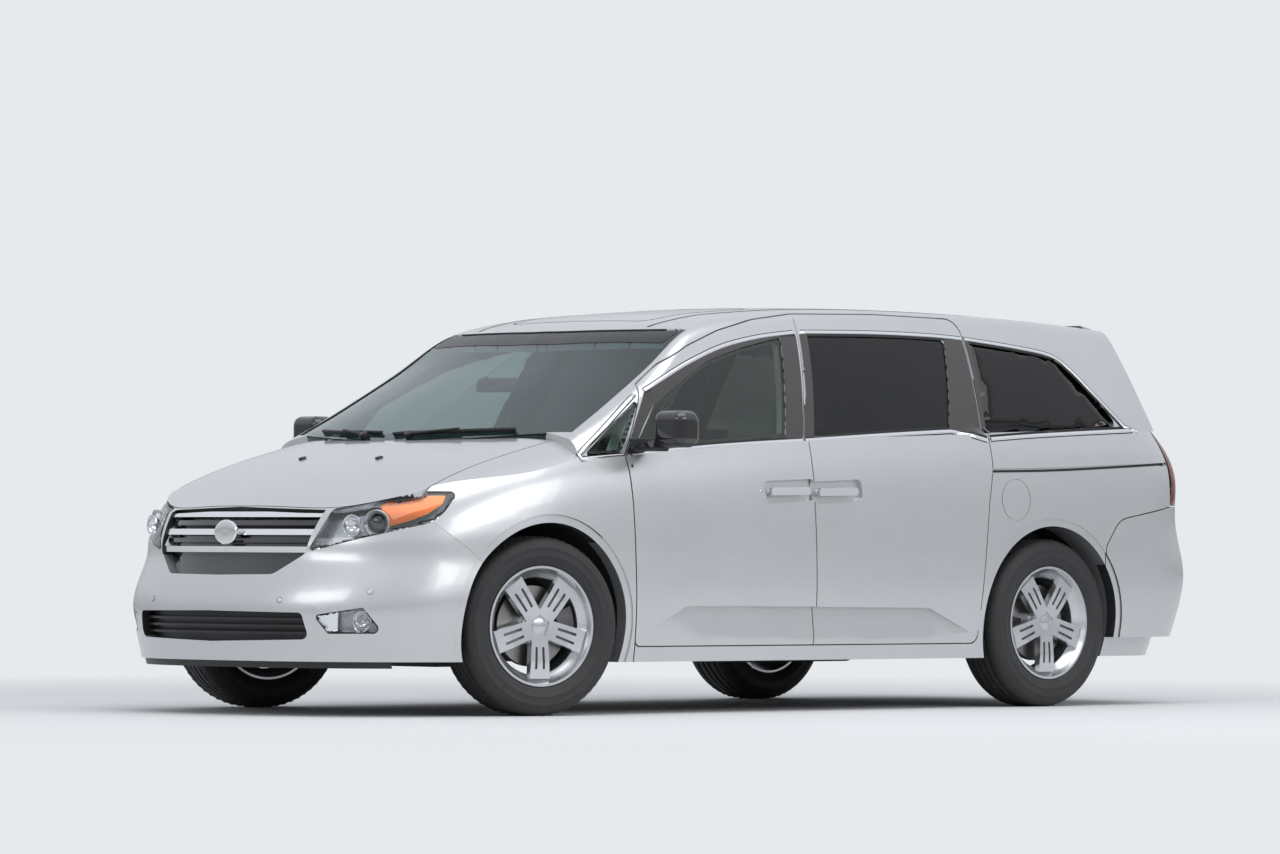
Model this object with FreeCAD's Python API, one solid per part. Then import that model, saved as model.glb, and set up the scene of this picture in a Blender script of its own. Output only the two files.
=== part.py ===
"""A seven-seat family minivan, built from its real panels, frame, wheels and doors.

Frame: +X forward, +Y to the left, +Z up. The origin is on the ground, under the middle of the
overall length and width. All sizes are in millimetres.
"""

import FreeCAD
import Part

import math
import os

V = FreeCAD.Vector
X_DIR = V(1, 0, 0)
Y_DIR = V(0, 1, 0)
Z_DIR = V(0, 0, 1)

# Overall size
overall_length = 5154.0
wheelbase = 3000.0
track = 1730.0
roof_height = 1737.0
half_width = 1006.0
front_overhang = 996.0

nose_x = overall_length / 2
tail_x = -overall_length / 2
front_axle_x = nose_x - front_overhang
rear_axle_x = front_axle_x - wheelbase
wheel_y = track / 2

# Wheels and tyres
tyre_radius = 366.0
tyre_width = 235.0
rim_lip_radius = 246.0
rim_width = 205.0
hub_height = tyre_radius
arch_radius = 430.0
arch_rise = -8.0
steer_at_rest_deg = 12.0
kingpin_inboard = 60.0

# Wall thicknesses and gaps
panel_gap = 5.0
door_thickness = 95.0
frame_thickness = 52.0
roof_thickness = 42.0
hood_thickness = 26.0
glass_thickness = 5.0


# Curves and surfaces

def along(points, x):
    """The value at x of a smooth curve through (x, value) points given in rising order of x."""
    last = len(points) - 1

    def secant(k):
        return (points[k + 1][1] - points[k][1]) / (points[k + 1][0] - points[k][0])

    def slope(k):
        if k == 0:
            return secant(0)
        if k == last:
            return secant(last - 1)
        before = points[k][0] - points[k - 1][0]
        after = points[k + 1][0] - points[k][0]
        return (secant(k - 1) * after + secant(k) * before) / (before + after)

    if x <= points[0][0]:
        return points[0][1] + slope(0) * (x - points[0][0])
    if x >= points[-1][0]:
        return points[-1][1] + slope(last) * (x - points[-1][0])
    k = max(i for i in range(last) if points[i][0] <= x)
    span = points[k + 1][0] - points[k][0]
    t = (x - points[k][0]) / span
    return ((2 * t**3 - 3 * t**2 + 1) * points[k][1] + (t**3 - 2 * t**2 + t) * slope(k) * span
            + (3 * t**2 - 2 * t**3) * points[k + 1][1] + (t**3 - t**2) * slope(k + 1) * span)


def net_surface(rows, square_ends):
    """A smooth surface through rows of points; square_ends makes its row ends meet y = 0 squarely."""
    count = len(rows[0])
    shares = [0.0] * count
    for row in rows:
        steps = [a.distanceToPoint(b) for a, b in zip(row, row[1:])]
        for i in range(1, count):
            shares[i] += sum(steps[:i]) / sum(steps) / len(rows)
    shares[-1] = 1.0
    row_curves = []
    for row in rows:
        curve = Part.BSplineCurve()
        if square_ends:
            reach = sum(a.distanceToPoint(b) for a, b in zip(row, row[1:]))
            curve.interpolate(Points=row, Parameters=shares, Scale=False,
                              InitialTangent=Y_DIR * reach, FinalTangent=Y_DIR * -reach)
        else:
            curve.interpolate(Points=row, Parameters=shares)
        row_curves.append(curve)
    pole_rows = [curve.getPoles() for curve in row_curves]
    heights = [0.0]
    for a, b in zip(rows, rows[1:]):
        heights.append(heights[-1] + sum(p.distanceToPoint(q) for p, q in zip(a, b)))
    heights = [h / heights[-1] for h in heights]
    column_curves = []
    for i in range(len(pole_rows[0])):
        curve = Part.BSplineCurve()
        curve.interpolate(Points=[poles[i] for poles in pole_rows], Parameters=heights)
        column_curves.append(curve)
    along_row, across = row_curves[0], column_curves[0]
    surface = Part.BSplineSurface()
    surface.buildFromPolesMultsKnots(
        [curve.getPoles() for curve in column_curves],
        along_row.getMultiplicities(), across.getMultiplicities(),
        along_row.getKnots(), across.getKnots(), False, False,
        along_row.Degree, across.Degree)
    return surface


def capped_half(surface):
    """The solid between a half-body surface, its flat end caps and the plane y = 0."""
    u0, u1, v0, v1 = surface.bounds()
    low, high = surface.vIso(v0), surface.vIso(v1)
    front, back = surface.uIso(u0), surface.uIso(u1)

    def ends(curve):
        return curve.value(curve.FirstParameter), curve.value(curve.LastParameter)

    def cap(curve):
        a, b = ends(curve)
        return Part.Face(Part.Wire([curve.toShape(), Part.makeLine(b, a)]))

    middle = Part.Wire(Part.__sortEdges__([front.toShape(), back.toShape(),
                                           Part.makeLine(*ends(low)), Part.makeLine(*ends(high))]))
    solid = Part.Solid(Part.Shell([Part.Face(surface), cap(low), cap(high), Part.Face(middle)]))
    if solid.Volume < 0:
        solid.reverse()
    return solid


def rounded_wire(corners, radii=0.0):
    """A closed wire through corners, with a tangent arc of its radius at each one."""
    count = len(corners)
    if not isinstance(radii, (list, tuple)):
        radii = [radii] * count
    edges = []
    starts, stops, mids = [], [], []
    for k, corner in enumerate(corners):
        back = (corners[k - 1] - corner)
        ahead = (corners[(k + 1) % count] - corner)
        half = back.getAngle(ahead) / 2
        if radii[k] <= 0 or half > math.radians(89.5):
            starts.append(corner)
            stops.append(corner)
            mids.append(None)
            continue
        cut = min(radii[k] / math.tan(half), 0.49 * back.Length, 0.49 * ahead.Length)
        radius = cut * math.tan(half)
        back.normalize()
        ahead.normalize()
        inward = (back + ahead).normalize()
        starts.append(corner + back * cut)
        stops.append(corner + ahead * cut)
        mids.append(corner + inward * (radius / math.sin(half) - radius))
    for k in range(count):
        if mids[k] is not None:
            edges.append(Part.Arc(starts[k], mids[k], stops[k]).toShape())
        following = starts[(k + 1) % count]
        if stops[k].distanceToPoint(following) > 1e-6:
            edges.append(Part.makeLine(stops[k], following))
    return Part.Wire(edges)


def prism(points, direction, near, far, radii=0.0):
    """A straight prism along direction whose outline is points seen along it, from near to far."""
    axis = V(direction).normalize()
    flat = [p - axis * p.dot(axis) + axis * near for p in points]
    return Part.Face(rounded_wire(flat, radii)).extrude(axis * (far - near))


def side_prism(outline, near=200.0, far=1500.0, radii=0.0):
    """A prism along Y with an outline of (x, z) pairs."""
    return prism([V(x, 0, z) for x, z in outline], Y_DIR, near, far, radii)


def top_prism(outline, low=0.0, high=2200.0, radii=0.0):
    """A prism along Z with an outline of (x, y) pairs."""
    return prism([V(x, y, 0) for x, y in outline], Z_DIR, low, high, radii)


def front_prism(outline, back=0.0, front=3000.0, radii=0.0):
    """A prism along X with an outline of (y, z) pairs."""
    return prism([V(0, y, z) for y, z in outline], X_DIR, back, front, radii)


def slab(x0, x1, y0, y1, z0, z1):
    """A box between two corners."""
    return Part.makeBox(x1 - x0, y1 - y0, z1 - z0, V(x0, y0, z0))


def cylinder(radius, start, end):
    """A round bar between two points."""
    axis = end - start
    return Part.makeCylinder(radius, axis.Length, start, axis)


def mirrored(shape):
    """The same shape on the other side of the middle plane."""
    return shape.mirror(V(0, 0, 0), Y_DIR)


def across(shape):
    """A piece that spans the middle plane, joined from its left half."""
    return shape.fuse(mirrored(shape)).removeSplitter()


def grown(points, axis, amount):
    """The outline pushed outwards by amount (inwards if negative), seen along axis."""
    count = len(points)
    direction = V(axis).normalize()
    flat = [p - direction * p.dot(direction) for p in points]
    area = sum(((flat[k] - flat[0]).cross(flat[(k + 1) % count] - flat[0])).dot(direction)
               for k in range(count))
    sign = 1.0 if area > 0 else -1.0
    result = []
    for k in range(count):
        before = (flat[k] - flat[k - 1]).normalize()
        after = (flat[(k + 1) % count] - flat[k]).normalize()
        out_before = before.cross(direction) * sign
        out_after = after.cross(direction) * sign
        middle = out_before + out_after
        result.append(flat[k] + middle * (2 * amount / middle.dot(middle)))
    return result


def cutter(points, axis, near, far, grow=0.0, radii=0.0):
    """A prism through points seen along axis, its outline grown all round."""
    return prism(grown(points, axis, grow) if grow else points, axis, near, far, radii)


# The outer form

belt_line = [(-2600, 1224), (-2017, 1216), (-847, 1182), (84, 1142), (640, 1106), (1394, 1036),
             (1768, 978), (1987, 925), (2400, 850), (2600, 815)]
waist_height = 620.0
outline_points = 34
front_corner_length = 1000.0
rear_corner_length = 560.0
front_corner_power = 2.7
rear_corner_power = 3.2
barrel = 0.012

# Lines of the lower body: how far each is set back from the nose, set in from the tail and taken off
# the half width, then its height up to the waist, or its share of the way from the waist to the belt.
lower_lines = [
    (40, 130, 50, 120, None),
    (20, 68, 24, 300, None),
    (7, 14, 5, 470, None),
    (72, 6, 0, waist_height, None),
    (88, 58, 0, None, 0.33),
    (118, 52, 8, None, 0.66),
    (152, 130, 28, None, 0.90),
    (190, 235, 61, None, 1.08),
    (480, 345, 170, 1450, None),
]


def belt(x):
    """The height of the belt line, under the side windows and on along the fender."""
    return along(belt_line, x)


def plan_line(nose, tail, half, count):
    """Half of a body outline seen from above, from the nose round to the tail, evenly spaced."""
    front_x = nose - front_corner_length
    rear_x = tail + rear_corner_length
    middle = (front_x + rear_x) / 2
    fine = 300

    def width(x):
        return half * (1 - barrel * ((x - middle) / 1500.0)**2)

    def corner(origin, length, power, share):
        angle = math.pi / 2 * share
        x = origin + length * math.cos(angle)**(2 / power)
        return x, width(x) * math.sin(angle)**(2 / power)

    points = [corner(front_x, front_corner_length, front_corner_power, k / fine)
              for k in range(fine)]
    points += [(front_x + (rear_x - front_x) * k / fine, width(front_x + (rear_x - front_x) * k / fine))
               for k in range(fine)]
    points += [corner(rear_x, -rear_corner_length, rear_corner_power, 1 - k / fine)
               for k in range(fine + 1)]
    points[0] = (nose, 0.0)
    points[-1] = (tail, 0.0)
    reach = [0.0]
    for a, b in zip(points, points[1:]):
        reach.append(reach[-1] + math.dist(a, b))
    line, k = [], 0
    for i in range(count):
        goal = reach[-1] * i / (count - 1)
        while k < len(reach) - 2 and reach[k + 1] < goal:
            k += 1
        t = (goal - reach[k]) / (reach[k + 1] - reach[k])
        a, b = points[k], points[k + 1]
        line.append((a[0] + t * (b[0] - a[0]), a[1] + t * (b[1] - a[1])))
    return line


def tub(inset):
    """Left half of the lower body, taken in by inset all round."""
    rows = []
    for back, ahead, narrower, height, share in lower_lines:
        line = plan_line(nose_x - back - inset, tail_x + ahead + inset, half_width - narrower - inset,
                         outline_points)
        rows.append([V(x, y, height if share is None else waist_height + share * (belt(x) - waist_height))
                     for x, y in line])
    return capped_half(net_surface(rows, True))


hood_profile = [(1040, 1252), (1250, 1203), (1520, 1139), (1693, 1097), (1877, 1049), (2121, 972), (2300, 898),
                (2393, 852), (2500, 790), (2700, 650)]
hood_drop = [(0, 0.0), (300, 3.0), (560, 14.0), (780, 41.0), (880, 78.0), (960, 128.0), (1050, 205.0)]
hood_sweep = [(0, 0.0), (300, 25.0), (490, 60.0), (660, 75.0), (780, 76.0), (1050, 90.0)]
hood_stations = 15


def hood_block(inset):
    """All that lies under the hood and the tops of the fenders, taken in by inset."""
    first, last = hood_profile[0][0], hood_profile[-1][0]
    rows = []
    sides = [(-y, drop) for y, drop in reversed(hood_drop[1:])] + hood_drop
    for y, drop in sides:
        row = []
        for k in range(hood_stations):
            x = first + (last - first) * k / (hood_stations - 1)
            share = min(1.0, max(0.0, (x - 1700) / 600.0))
            sweep = along(hood_sweep, abs(y)) * share**2 * (3 - 2 * share)
            row.append(V(x, y, along(hood_profile, x + sweep) - drop - inset))
        rows.append(row)
    return Part.Face(net_surface(rows, False)).extrude(V(0, 0, -1300))


side_stations = [(-2600, 0.925), (-2150, 0.955), (-1700, 0.977), (-1100, 0.992), (-400, 1.0),
                 (300, 1.0), (900, 0.992), (1400, 0.975), (1900, 0.95)]
side_line = [(850, 985), (1110, 949), (1300, 890), (1480, 815), (1620, 741), (1740, 655), (1860, 545)]
roof_profile = [(-2700, 1630), (-2050, 1690), (-1500, 1722), (-900, 1736), (-300, 1731), (100, 1710),
                (470, 1666), (700, 1606), (950, 1470), (1230, 1313), (1520, 1141), (1750, 1008)]
windshield_share = [(-2700, 0.0), (100, 0.0), (470, 0.3), (700, 0.75), (950, 0.93), (1150, 0.85),
                    (1400, 0.6), (1750, 0.5)]
roof_drop_share = [(-2700, 1.0), (100, 1.0), (470, 0.8), (700, 0.45), (950, 0.2), (1750, 0.2)]
windshield_sweep = [(0, 0), (300, 20), (560, 78), (780, 160), (960, 260)]
roof_drop = [(0, 0), (300, 4), (560, 15), (780, 36), (960, 72)]
rail_radius = 90.0
greenhouse_low = 860.0
rise_shares = [0.0, 0.16, 0.32, 0.48, 0.63, 0.76, 0.87, 0.95]
roof_shares = [0.96, 0.89, 0.78, 0.64, 0.48, 0.32, 0.16, 0.0]
greenhouse_stations = [1720, 1600, 1480, 1350, 1210, 1070, 930, 810, 700, 600, 490, 360, 180, -80, -450,
                       -900, -1400, -1900, -2350, -2700]
tail_profile = [(1000, -2500), (1130, -2446), (1230, -2392), (1381, -2312), (1543, -2236), (1700, -2160),
                (1800, -2110)]
tail_rows = [(0, 0), (300, 14), (560, 60), (780, 140), (960, 260)]


def slope_of(curve, at):
    """The slope of a function at a place."""
    return (curve(at + 1.0) - curve(at - 1.0)) / 2.0


def roof_section(x, inset):
    """The side's half width against height, and the roof's height against y, across the body at x."""
    share = along(side_stations, x)
    lean = min(1.0, max(0.0, along(windshield_share, x)))
    crown = min(1.0, max(0.0, along(roof_drop_share, x)))
    steep = math.hypot(1.0, slope_of(lambda p: along(roof_profile, p), x))

    def side(z):
        return along(side_line, z) * share - inset

    def top(y):
        return (along(roof_profile, x + lean * along(windshield_sweep, abs(y)))
                - along(roof_drop, abs(y)) * crown - inset * steep)

    return side, top


def greenhouse_row(x, inset):
    """Points across the left half of the greenhouse at x: up the side, round the rail, to the middle."""
    side, top = roof_section(x, inset)
    radius = rail_radius - 0.6 * inset
    y, z = 700.0, 1500.0
    for _ in range(60):
        y = side(z) - radius * math.hypot(1.0, slope_of(side, z))
        z = 0.5 * (z + top(y) - radius * math.hypot(1.0, slope_of(top, y)))
    side_slope = math.atan2(-slope_of(side, z), 1.0)
    top_slope = math.atan2(1.0, -slope_of(top, y))
    arc = [(y + radius * math.cos(angle), z + radius * math.sin(angle))
           for angle in (side_slope + (top_slope - side_slope) * k / 6 for k in range(7))]
    first_z, last_y = arc[0][1], arc[-1][0]
    points = [(side(h), h) for h in (greenhouse_low + (first_z - greenhouse_low) * share
                                     for share in rise_shares)]
    points += arc
    points += [(w, top(w)) for w in (last_y * share for share in roof_shares)]
    return [V(x, w, h) for w, h in points]


def both_sides(rows):
    """Rows given for y from 0 outwards, completed with their mirror rows."""
    return [(-row[0],) + tuple(row[1:]) for row in reversed(rows[1:])] + rows


def tail_block(inset):
    """All that lies ahead of the tailgate's window."""
    rows = [[V(x + ahead + inset, y, z) for z, x in tail_profile] for y, ahead in both_sides(tail_rows)]
    return Part.Face(net_surface(rows, False)).extrude(V(4600, 0, 0))


def greenhouse(inset):
    """Left half of the body above the belt, with its roof rail rounded, taken in by inset."""
    rows = [greenhouse_row(x, inset) for x in greenhouse_stations]
    surface = net_surface(rows, False)
    u0, u1, v0, v1 = surface.bounds()
    front, back = surface.vIso(v0), surface.vIso(v1)
    low, middle = surface.uIso(u0), surface.uIso(u1)

    def corners(curve):
        return curve.value(curve.FirstParameter), curve.value(curve.LastParameter)

    faces = [Part.Face(surface)]
    low_edge, middle_edge = low.toShape(), middle.toShape()
    keel = Part.makeLine(V(greenhouse_stations[0], 0, greenhouse_low),
                         V(greenhouse_stations[-1], 0, greenhouse_low))
    foot = []
    for curve, x in ((front, greenhouse_stations[0]), (back, greenhouse_stations[-1])):
        outer, inner = corners(curve)
        centre = V(x, 0, greenhouse_low)
        foot.append(Part.makeLine(outer, centre))
        post = Part.makeLine(centre, inner)
        faces.append(Part.Face(Part.Wire([curve.toShape(), Part.makeLine(inner, centre), foot[-1]])))
        foot.append(post)
    faces.append(Part.Face(Part.Wire(Part.__sortEdges__([low_edge, foot[0], keel, foot[2]]))))
    faces.append(Part.Face(Part.Wire(Part.__sortEdges__([middle_edge, foot[1], keel, foot[3]]))))
    solid = Part.Solid(Part.Shell(faces))
    if solid.Volume < 0:
        solid.reverse()
    return solid.common(tail_block(inset)).common(slab(-2700, 1600, 0, 1100, 1000, 1900))


def below_belt(start, stop):
    """A left side prism of all that lies under the belt line, from start back to stop."""
    count = 9
    top = [V(start + (stop - start) * k / (count - 1), -10, 0) for k in range(count)]
    for point in top:
        point.z = belt(point.x)
    curve = Part.BSplineCurve()
    curve.interpolate(Points=top)
    low_start = V(start, -10, 0)
    low_stop = V(stop, -10, 0)
    wire = Part.Wire([curve.toShape(), Part.makeLine(top[-1], low_stop),
                      Part.makeLine(low_stop, low_start), Part.makeLine(low_start, top[0])])
    return Part.Face(wire).extrude(V(0, 1200, 0))


cabin_front_x = 1400.0


class Forms:
    """The nested outer forms that every panel is cut from, each built once."""

    def __init__(self):
        self.kept = {}

    def keep(self, name, inset, build):
        key = (name, inset)
        if key not in self.kept:
            self.kept[key] = build(inset)
        return self.kept[key]

    def tub(self, inset):
        return self.keep("tub", inset, tub)

    def hood(self, inset):
        return self.keep("hood", inset, hood_block)

    def top(self, inset):
        return self.keep("top", inset, greenhouse)

    def front(self, inset):
        """Left half of the front end: under the hood's surface and within the body's sides."""
        return self.keep("front", inset, lambda i: self.tub(i).common(self.hood(i)).common(
            slab(1000, 2700, 0, 1100, 0, 1300)))

    def lower(self, inset):
        """Left half of the lower body under the belt line."""
        return self.keep("lower", inset, lambda i: self.tub(i).common(below_belt(cabin_front_x, -2700)))

    def cabin(self, lower_inset, upper_inset):
        """Left half of the cabin with its lower and upper walls taken in by their own insets."""
        return self.keep("cabin", (lower_inset, upper_inset), lambda pair: self.lower(pair[0]).fuse(
            self.top(pair[1])))


forms = Forms()


# Lines that divide the panels, as points on the left side of the body

def at(x, z, y=0.0):
    """A point given by its place along the body, its height and its distance from the middle."""
    return V(x, y, z)


doors_outline = [at(1092, 282), at(1122, 825), at(1133, 1062), at(955, 1362), at(800, 1456),
                 at(619, 1534), at(413, 1602), at(181, 1654), at(-84, 1686), at(-600, 1697),
                 at(-1108, 1688), at(-1068, 1430), at(-1029, 1157), at(-1034, 1046), at(-1000, 883),
                 at(-955, 430), at(-948, 282)]
doors_radii = [28, 300, 12, 30, 300, 300, 400, 400, 400, 600, 60, 900, 300, 200, 400, 300, 45]
doors_inner_line = [(1400, 850), (1157, 846), (957, 816), (755, 784), (577, 752), (413, 698), (181, 660),
                    (-84, 645), (-1300, 645)]
front_window = [at(187, 1150), at(640, 1119), at(1088, 1081), at(910, 1286), at(832, 1330), at(550, 1470),
                at(300, 1537), at(46, 1586)]
front_window_radii = [14, 600, 14, 40, 200, 300, 300, 16]
sliding_window = [at(20, 1160), at(-400, 1184), at(-835, 1202), at(-973, 1600), at(-539, 1613), at(-121, 1605)]
sliding_window_radii = [14, 900, 20, 30, 900, 16]
quarter_window = [at(-1060, 1192), at(-1500, 1208), at(-1962, 1229), at(-1838, 1372), at(-1716, 1488),
                  at(-1624, 1538), at(-1420, 1572), at(-1128, 1598)]
quarter_window_radii = [16, 900, 25, 300, 120, 120, 500, 20]
corner_window = [at(1156, 1072), at(1372, 1055), at(1176, 1196), at(985, 1314)]
corner_window_radii = [12, 14, 600, 10]
pillar_lean = V(-math.sin(math.radians(20.0)), math.cos(math.radians(20.0)), 0)
middle_pillar = [V(-108, 665, 1760), V(-84, 690, 1686), V(84, 960, 1142), V(80, 990, 891), V(60, 978, 285),
                 V(58, 975, 200)]
middle_pillar_radii = [0, 0, 500, 900, 0, 0]

windshield_low_x = 1532.0
windshield_sweep_rate = 0.00026
cowl_gap = 26.0
windshield_side = [(1357, 850), (1157, 818), (957, 788), (755, 757), (577, 726)]
windshield_top_x = 700.0
windshield_top_rate = 0.000233
hood_side_y = 780.0
hood_corner_x = 2121.0
hood_edge_lean = 0.36
hood_nose = [(2393, 0), (2382, 230), (2335, 490), (2262, 640), (2121, 780)]
roof_side_y = 640.0
roof_rear_x = -2012.0

tailgate_lean = V(-0.9, 0.44, 0)
tailgate_side = [V(-2540, 590, 600), V(-2500, 640, 780), V(-2445, 690, 1000), V(-2375, 716, 1200),
                 V(-2215, 655, 1560), V(-2110, 610, 1700), V(-2060, 590, 1830)]
tailgate_low = 600.0
tailgate_front_x = roof_rear_x - panel_gap
tail_window_side = [V(-2370, 640, 1225), V(-2200, 575, 1590)]

lamp_view = V(0.69, 0.72, 0)
headlamp_points = [V(2455, 469, 664), V(2331, 490, 838), V(2230, 660, 872), V(2121, 780, 912),
                   V(1995, 880, 912), V(2114, 880, 790), V(2381, 665, 713)]
headlamp_radii = [12, 30, 200, 200, 20, 150, 200]
fender_front = [at(1905, 100), at(1905, 600), at(1919, 626), at(2114, 787), at(2114, 1200)]
fender_rear = [at(1092, 100), at(1092, 282), at(1122, 825), at(1134, 1062), at(957, 1362)]
tail_lamp = [at(-2228, 884), at(-2216, 1060), at(-2158, 1216), at(-2700, 1216), at(-2700, 884)]
tail_lamp_radii = [14, 200, 14, 0, 0]
rear_bumper_top = [at(-1765, 100), at(-1765, 700), at(-1854, 817), at(-2241, 879), at(-2700, 879), at(-2700, 100)]
rear_bumper_radii = [0, 40, 120, 60, 0, 0]
rear_bumper_low = 300.0
front_bumper_low = 222.0
sill_low = 216.0

lower_frame = door_thickness + frame_thickness
upper_door = 40.0
upper_frame = 72.0
seat_gap = 0.3
trim_gap = 0.8
glass_outer = 5.0
glass_inner = glass_outer + glass_thickness
glass_seat = glass_inner + seat_gap
flange = 18.0
pillar_foot_x = 1392.0
liner_inner = arch_radius + 14.0
liner_outer = liner_inner + 6.0
front_wall = 60.0
OUT = 1300.0


def side_cut(points, grow=0.0, radii=0.0, near=-10.0):
    """A cutter through the left side with an outline seen along Y."""
    return cutter(points, Y_DIR, near, OUT, grow, radii)


lip_width = 34.0
lip_depth = 6.0


def arch_lip(x):
    """The stepped band round a wheel arch."""
    return arch(x, arch_radius + lip_width, 700.0).cut(forms.tub(lip_depth))


def arch(x, radius, inner=520.0):
    """The round space of a wheel arch on the left side."""
    return cylinder(radius, V(x, inner, hub_height + arch_rise), V(x, OUT, hub_height + arch_rise))


def doors_cut(grow):
    """A cutter for both doors' outline, no further in than their frames reach under the roof rail."""
    inner = [(x, y - grow) for x, y in doors_inner_line]
    outboard = top_prism(inner + [(inner[-1][0], OUT), (inner[0][0], OUT)])
    return side_cut(doors_outline, grow, doors_radii).common(outboard)


def behind_middle_pillar(ahead):
    """All of the left side behind the line between the two doors, moved forward by ahead."""
    rear = [V(-3000, 975, 200), V(-3000, 665, 1760)]
    points = [p + V(ahead, 0, 0) for p in middle_pillar] + rear
    return cutter(points, pillar_lean, -600.0, 2600.0, 0.0, middle_pillar_radii + [0, 0])


def windshield_outline(grow):
    """The windshield's outline seen from above: left half, with its straight side on y = 0."""
    count = 8
    side_y = windshield_side[0][1]
    low = [(windshield_low_x - windshield_sweep_rate * y * y + grow, y)
           for y in ((side_y + grow) * k / count for k in range(count + 1))]
    top_y = windshield_side[-1][1] + grow
    top = [(windshield_top_x - windshield_top_rate * y * y - grow, y)
           for y in (top_y * (1 - k / count) for k in range(count + 1))]
    side = [(x, y + grow) for x, y in windshield_side]
    return low, side, top


def curve_edge(points):
    curve = Part.BSplineCurve()
    curve.interpolate(Points=points)
    return curve.toShape()


def windshield_cut(grow):
    """A full-width vertical cutter with the windshield's outline."""
    low, side, top = windshield_outline(grow)
    low = [V(x, y, 0) for x, y in low]
    top = [V(x, y, 0) for x, y in top]
    side = [low[-1]] + [V(x, y, 0) for x, y in side[1:-1]] + [top[0]]
    left = [curve_edge(low), curve_edge(side), curve_edge(top)]
    right = [mirrored(edge) for edge in left]
    wire = Part.Wire(Part.__sortEdges__(left + right))
    return Part.Face(wire).extrude(V(0, 0, 2500))


def hood_cut(grow):
    """A full-width cutter with the hood's outline, leaning the way the hood's front edge swings."""
    count = 6
    steps = [(hood_side_y + grow) * k / count for k in range(count + 1)]
    rear = [V(windshield_low_x + cowl_gap - windshield_sweep_rate * y * y - grow, y, 0) for y in steps]
    nose = [V(x + grow, y, 0) for x, y in hood_nose[:-1]] + [V(hood_corner_x + grow, hood_side_y + grow, 0)]
    for point in rear + nose:
        lift = along(hood_profile, point.x) - along(hood_drop, point.y)
        point.x -= lift * hood_edge_lean
    left = [curve_edge(rear), Part.makeLine(rear[-1], nose[-1]), curve_edge(nose)]
    right = [mirrored(edge) for edge in left]
    wire = Part.Wire(Part.__sortEdges__(left + right))
    return Part.Face(wire).extrude(V(hood_edge_lean, 0, 1) * 2500)


def hood_space():
    """The hood's recess: its outline and gap, down to the ledge that it rests on."""
    space = hood_cut(panel_gap).common(slab(1000, 2700, -1100, 1100, 600, 1300))
    return space.cut(forms.hood(hood_thickness + seat_gap))


def roof_cut(grow):
    """A full-width vertical cutter for the roof panel, from the windshield back to the tailgate."""
    count = 6
    front = [V(windshield_top_x - panel_gap - windshield_top_rate * y * y + grow, y, 0)
             for y in ((roof_side_y + grow) * k / count for k in range(count + 1))]
    back = V(roof_rear_x - grow, roof_side_y + grow, 0)
    back_middle = V(roof_rear_x - grow, 0, 0)
    left = [curve_edge(front), Part.makeLine(front[-1], back), Part.makeLine(back, back_middle)]
    right = [mirrored(edge) for edge in left]
    wire = Part.Wire(Part.__sortEdges__(left + right))
    return Part.Face(wire).extrude(V(0, 0, 2500))


def tailgate_cut(grow):
    """A cutter for the left half of the tailgate, wider at its outer face."""
    side = [V(p.x, p.y + grow, p.z) for p in tailgate_side]
    side[0] = side[0] + V(0, 0, -grow)
    points = [V(-2560, -700, tailgate_low - grow)] + side + [V(-2060, -700, 1830)]
    block = cutter(points, tailgate_lean, 1600.0, 3200.0, 0.0, [0, 60, 300, 300, 300, 500, 0, 0, 0])
    return block.common(slab(-2800, tailgate_front_x + grow, 0, 1100, 400, 1900))


def lamp_cut(grow):
    return cutter(headlamp_points, lamp_view, 1000.0, 3200.0, grow, headlamp_radii)


def body_side():
    """Left side of the body: pillars, roof rail, sill, quarter panel and the frames of both doors."""
    wall = forms.cabin(0, 0).cut(forms.cabin(lower_frame, upper_frame))
    wall = wall.common(slab(-2700, pillar_foot_x - trim_gap, 0, 1100, sill_low, 1900))
    wall = wall.cut(doors_cut(panel_gap).cut(forms.cabin(door_thickness + seat_gap, upper_door + seat_gap)))
    wall = wall.cut(doors_opening(front_opening))
    wall = wall.cut(doors_opening(sliding_opening))
    wall = wall.cut(glazed(quarter_window, quarter_window_radii))
    wall = wall.cut(glazed(corner_window, corner_window_radii))
    wall = wall.cut(windshield_cut(panel_gap).cut(forms.top(glass_seat)))
    wall = wall.cut(windshield_cut(-flange)).cut(hood_cut(panel_gap))
    wall = wall.cut(slab(firewall_x - trim_gap, cabin_front_x, 0, cowl_half + seat_gap, 0, 1300))
    wall = wall.cut(roof_cut(0.5).common(slab(-2700, 1700, -1100, 1100, 1400, 1900)))
    wall = wall.cut(tailgate_cut(panel_gap).cut(forms.cabin(door_thickness + seat_gap, upper_door + seat_gap)))
    wall = wall.cut(tailgate_cut(-45.0))
    fender_zone = slab(1000, 1700, 0, 1100, 0, 1300).cut(behind_fender(0.0))
    wall = wall.cut(fender_zone.common(below_belt(1700, 1000)).cut(forms.tub(front_wall + seat_gap)))
    wall = wall.cut(arch(front_axle_x, liner_outer + seat_gap, 0.0))
    wall = wall.cut(arch(rear_axle_x, arch_radius, 0.0)).cut(arch_lip(rear_axle_x))
    wall = wall.cut(side_cut(rear_bumper_top, panel_gap, rear_bumper_radii).cut(forms.tub(front_wall + seat_gap)))
    wall = wall.cut(side_cut(tail_lamp, trim_gap, tail_lamp_radii).cut(forms.tub(front_wall + seat_gap)))
    wall = wall.cut(side_cut(track_outline).cut(forms.tub(track_depth)))
    return wall.cut(fuel_door_groove())


track_outline = [at(-1010, 1035), at(-1010, 1013), at(-1500, 1026), at(-2212, 1062), at(-2212, 1076),
                 at(-1500, 1047)]
track_depth = 16.0
fuel_door_centre = (-1174.0, 902.0)
fuel_door_radius = 92.0
fuel_door_gap = 4.0


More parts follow.
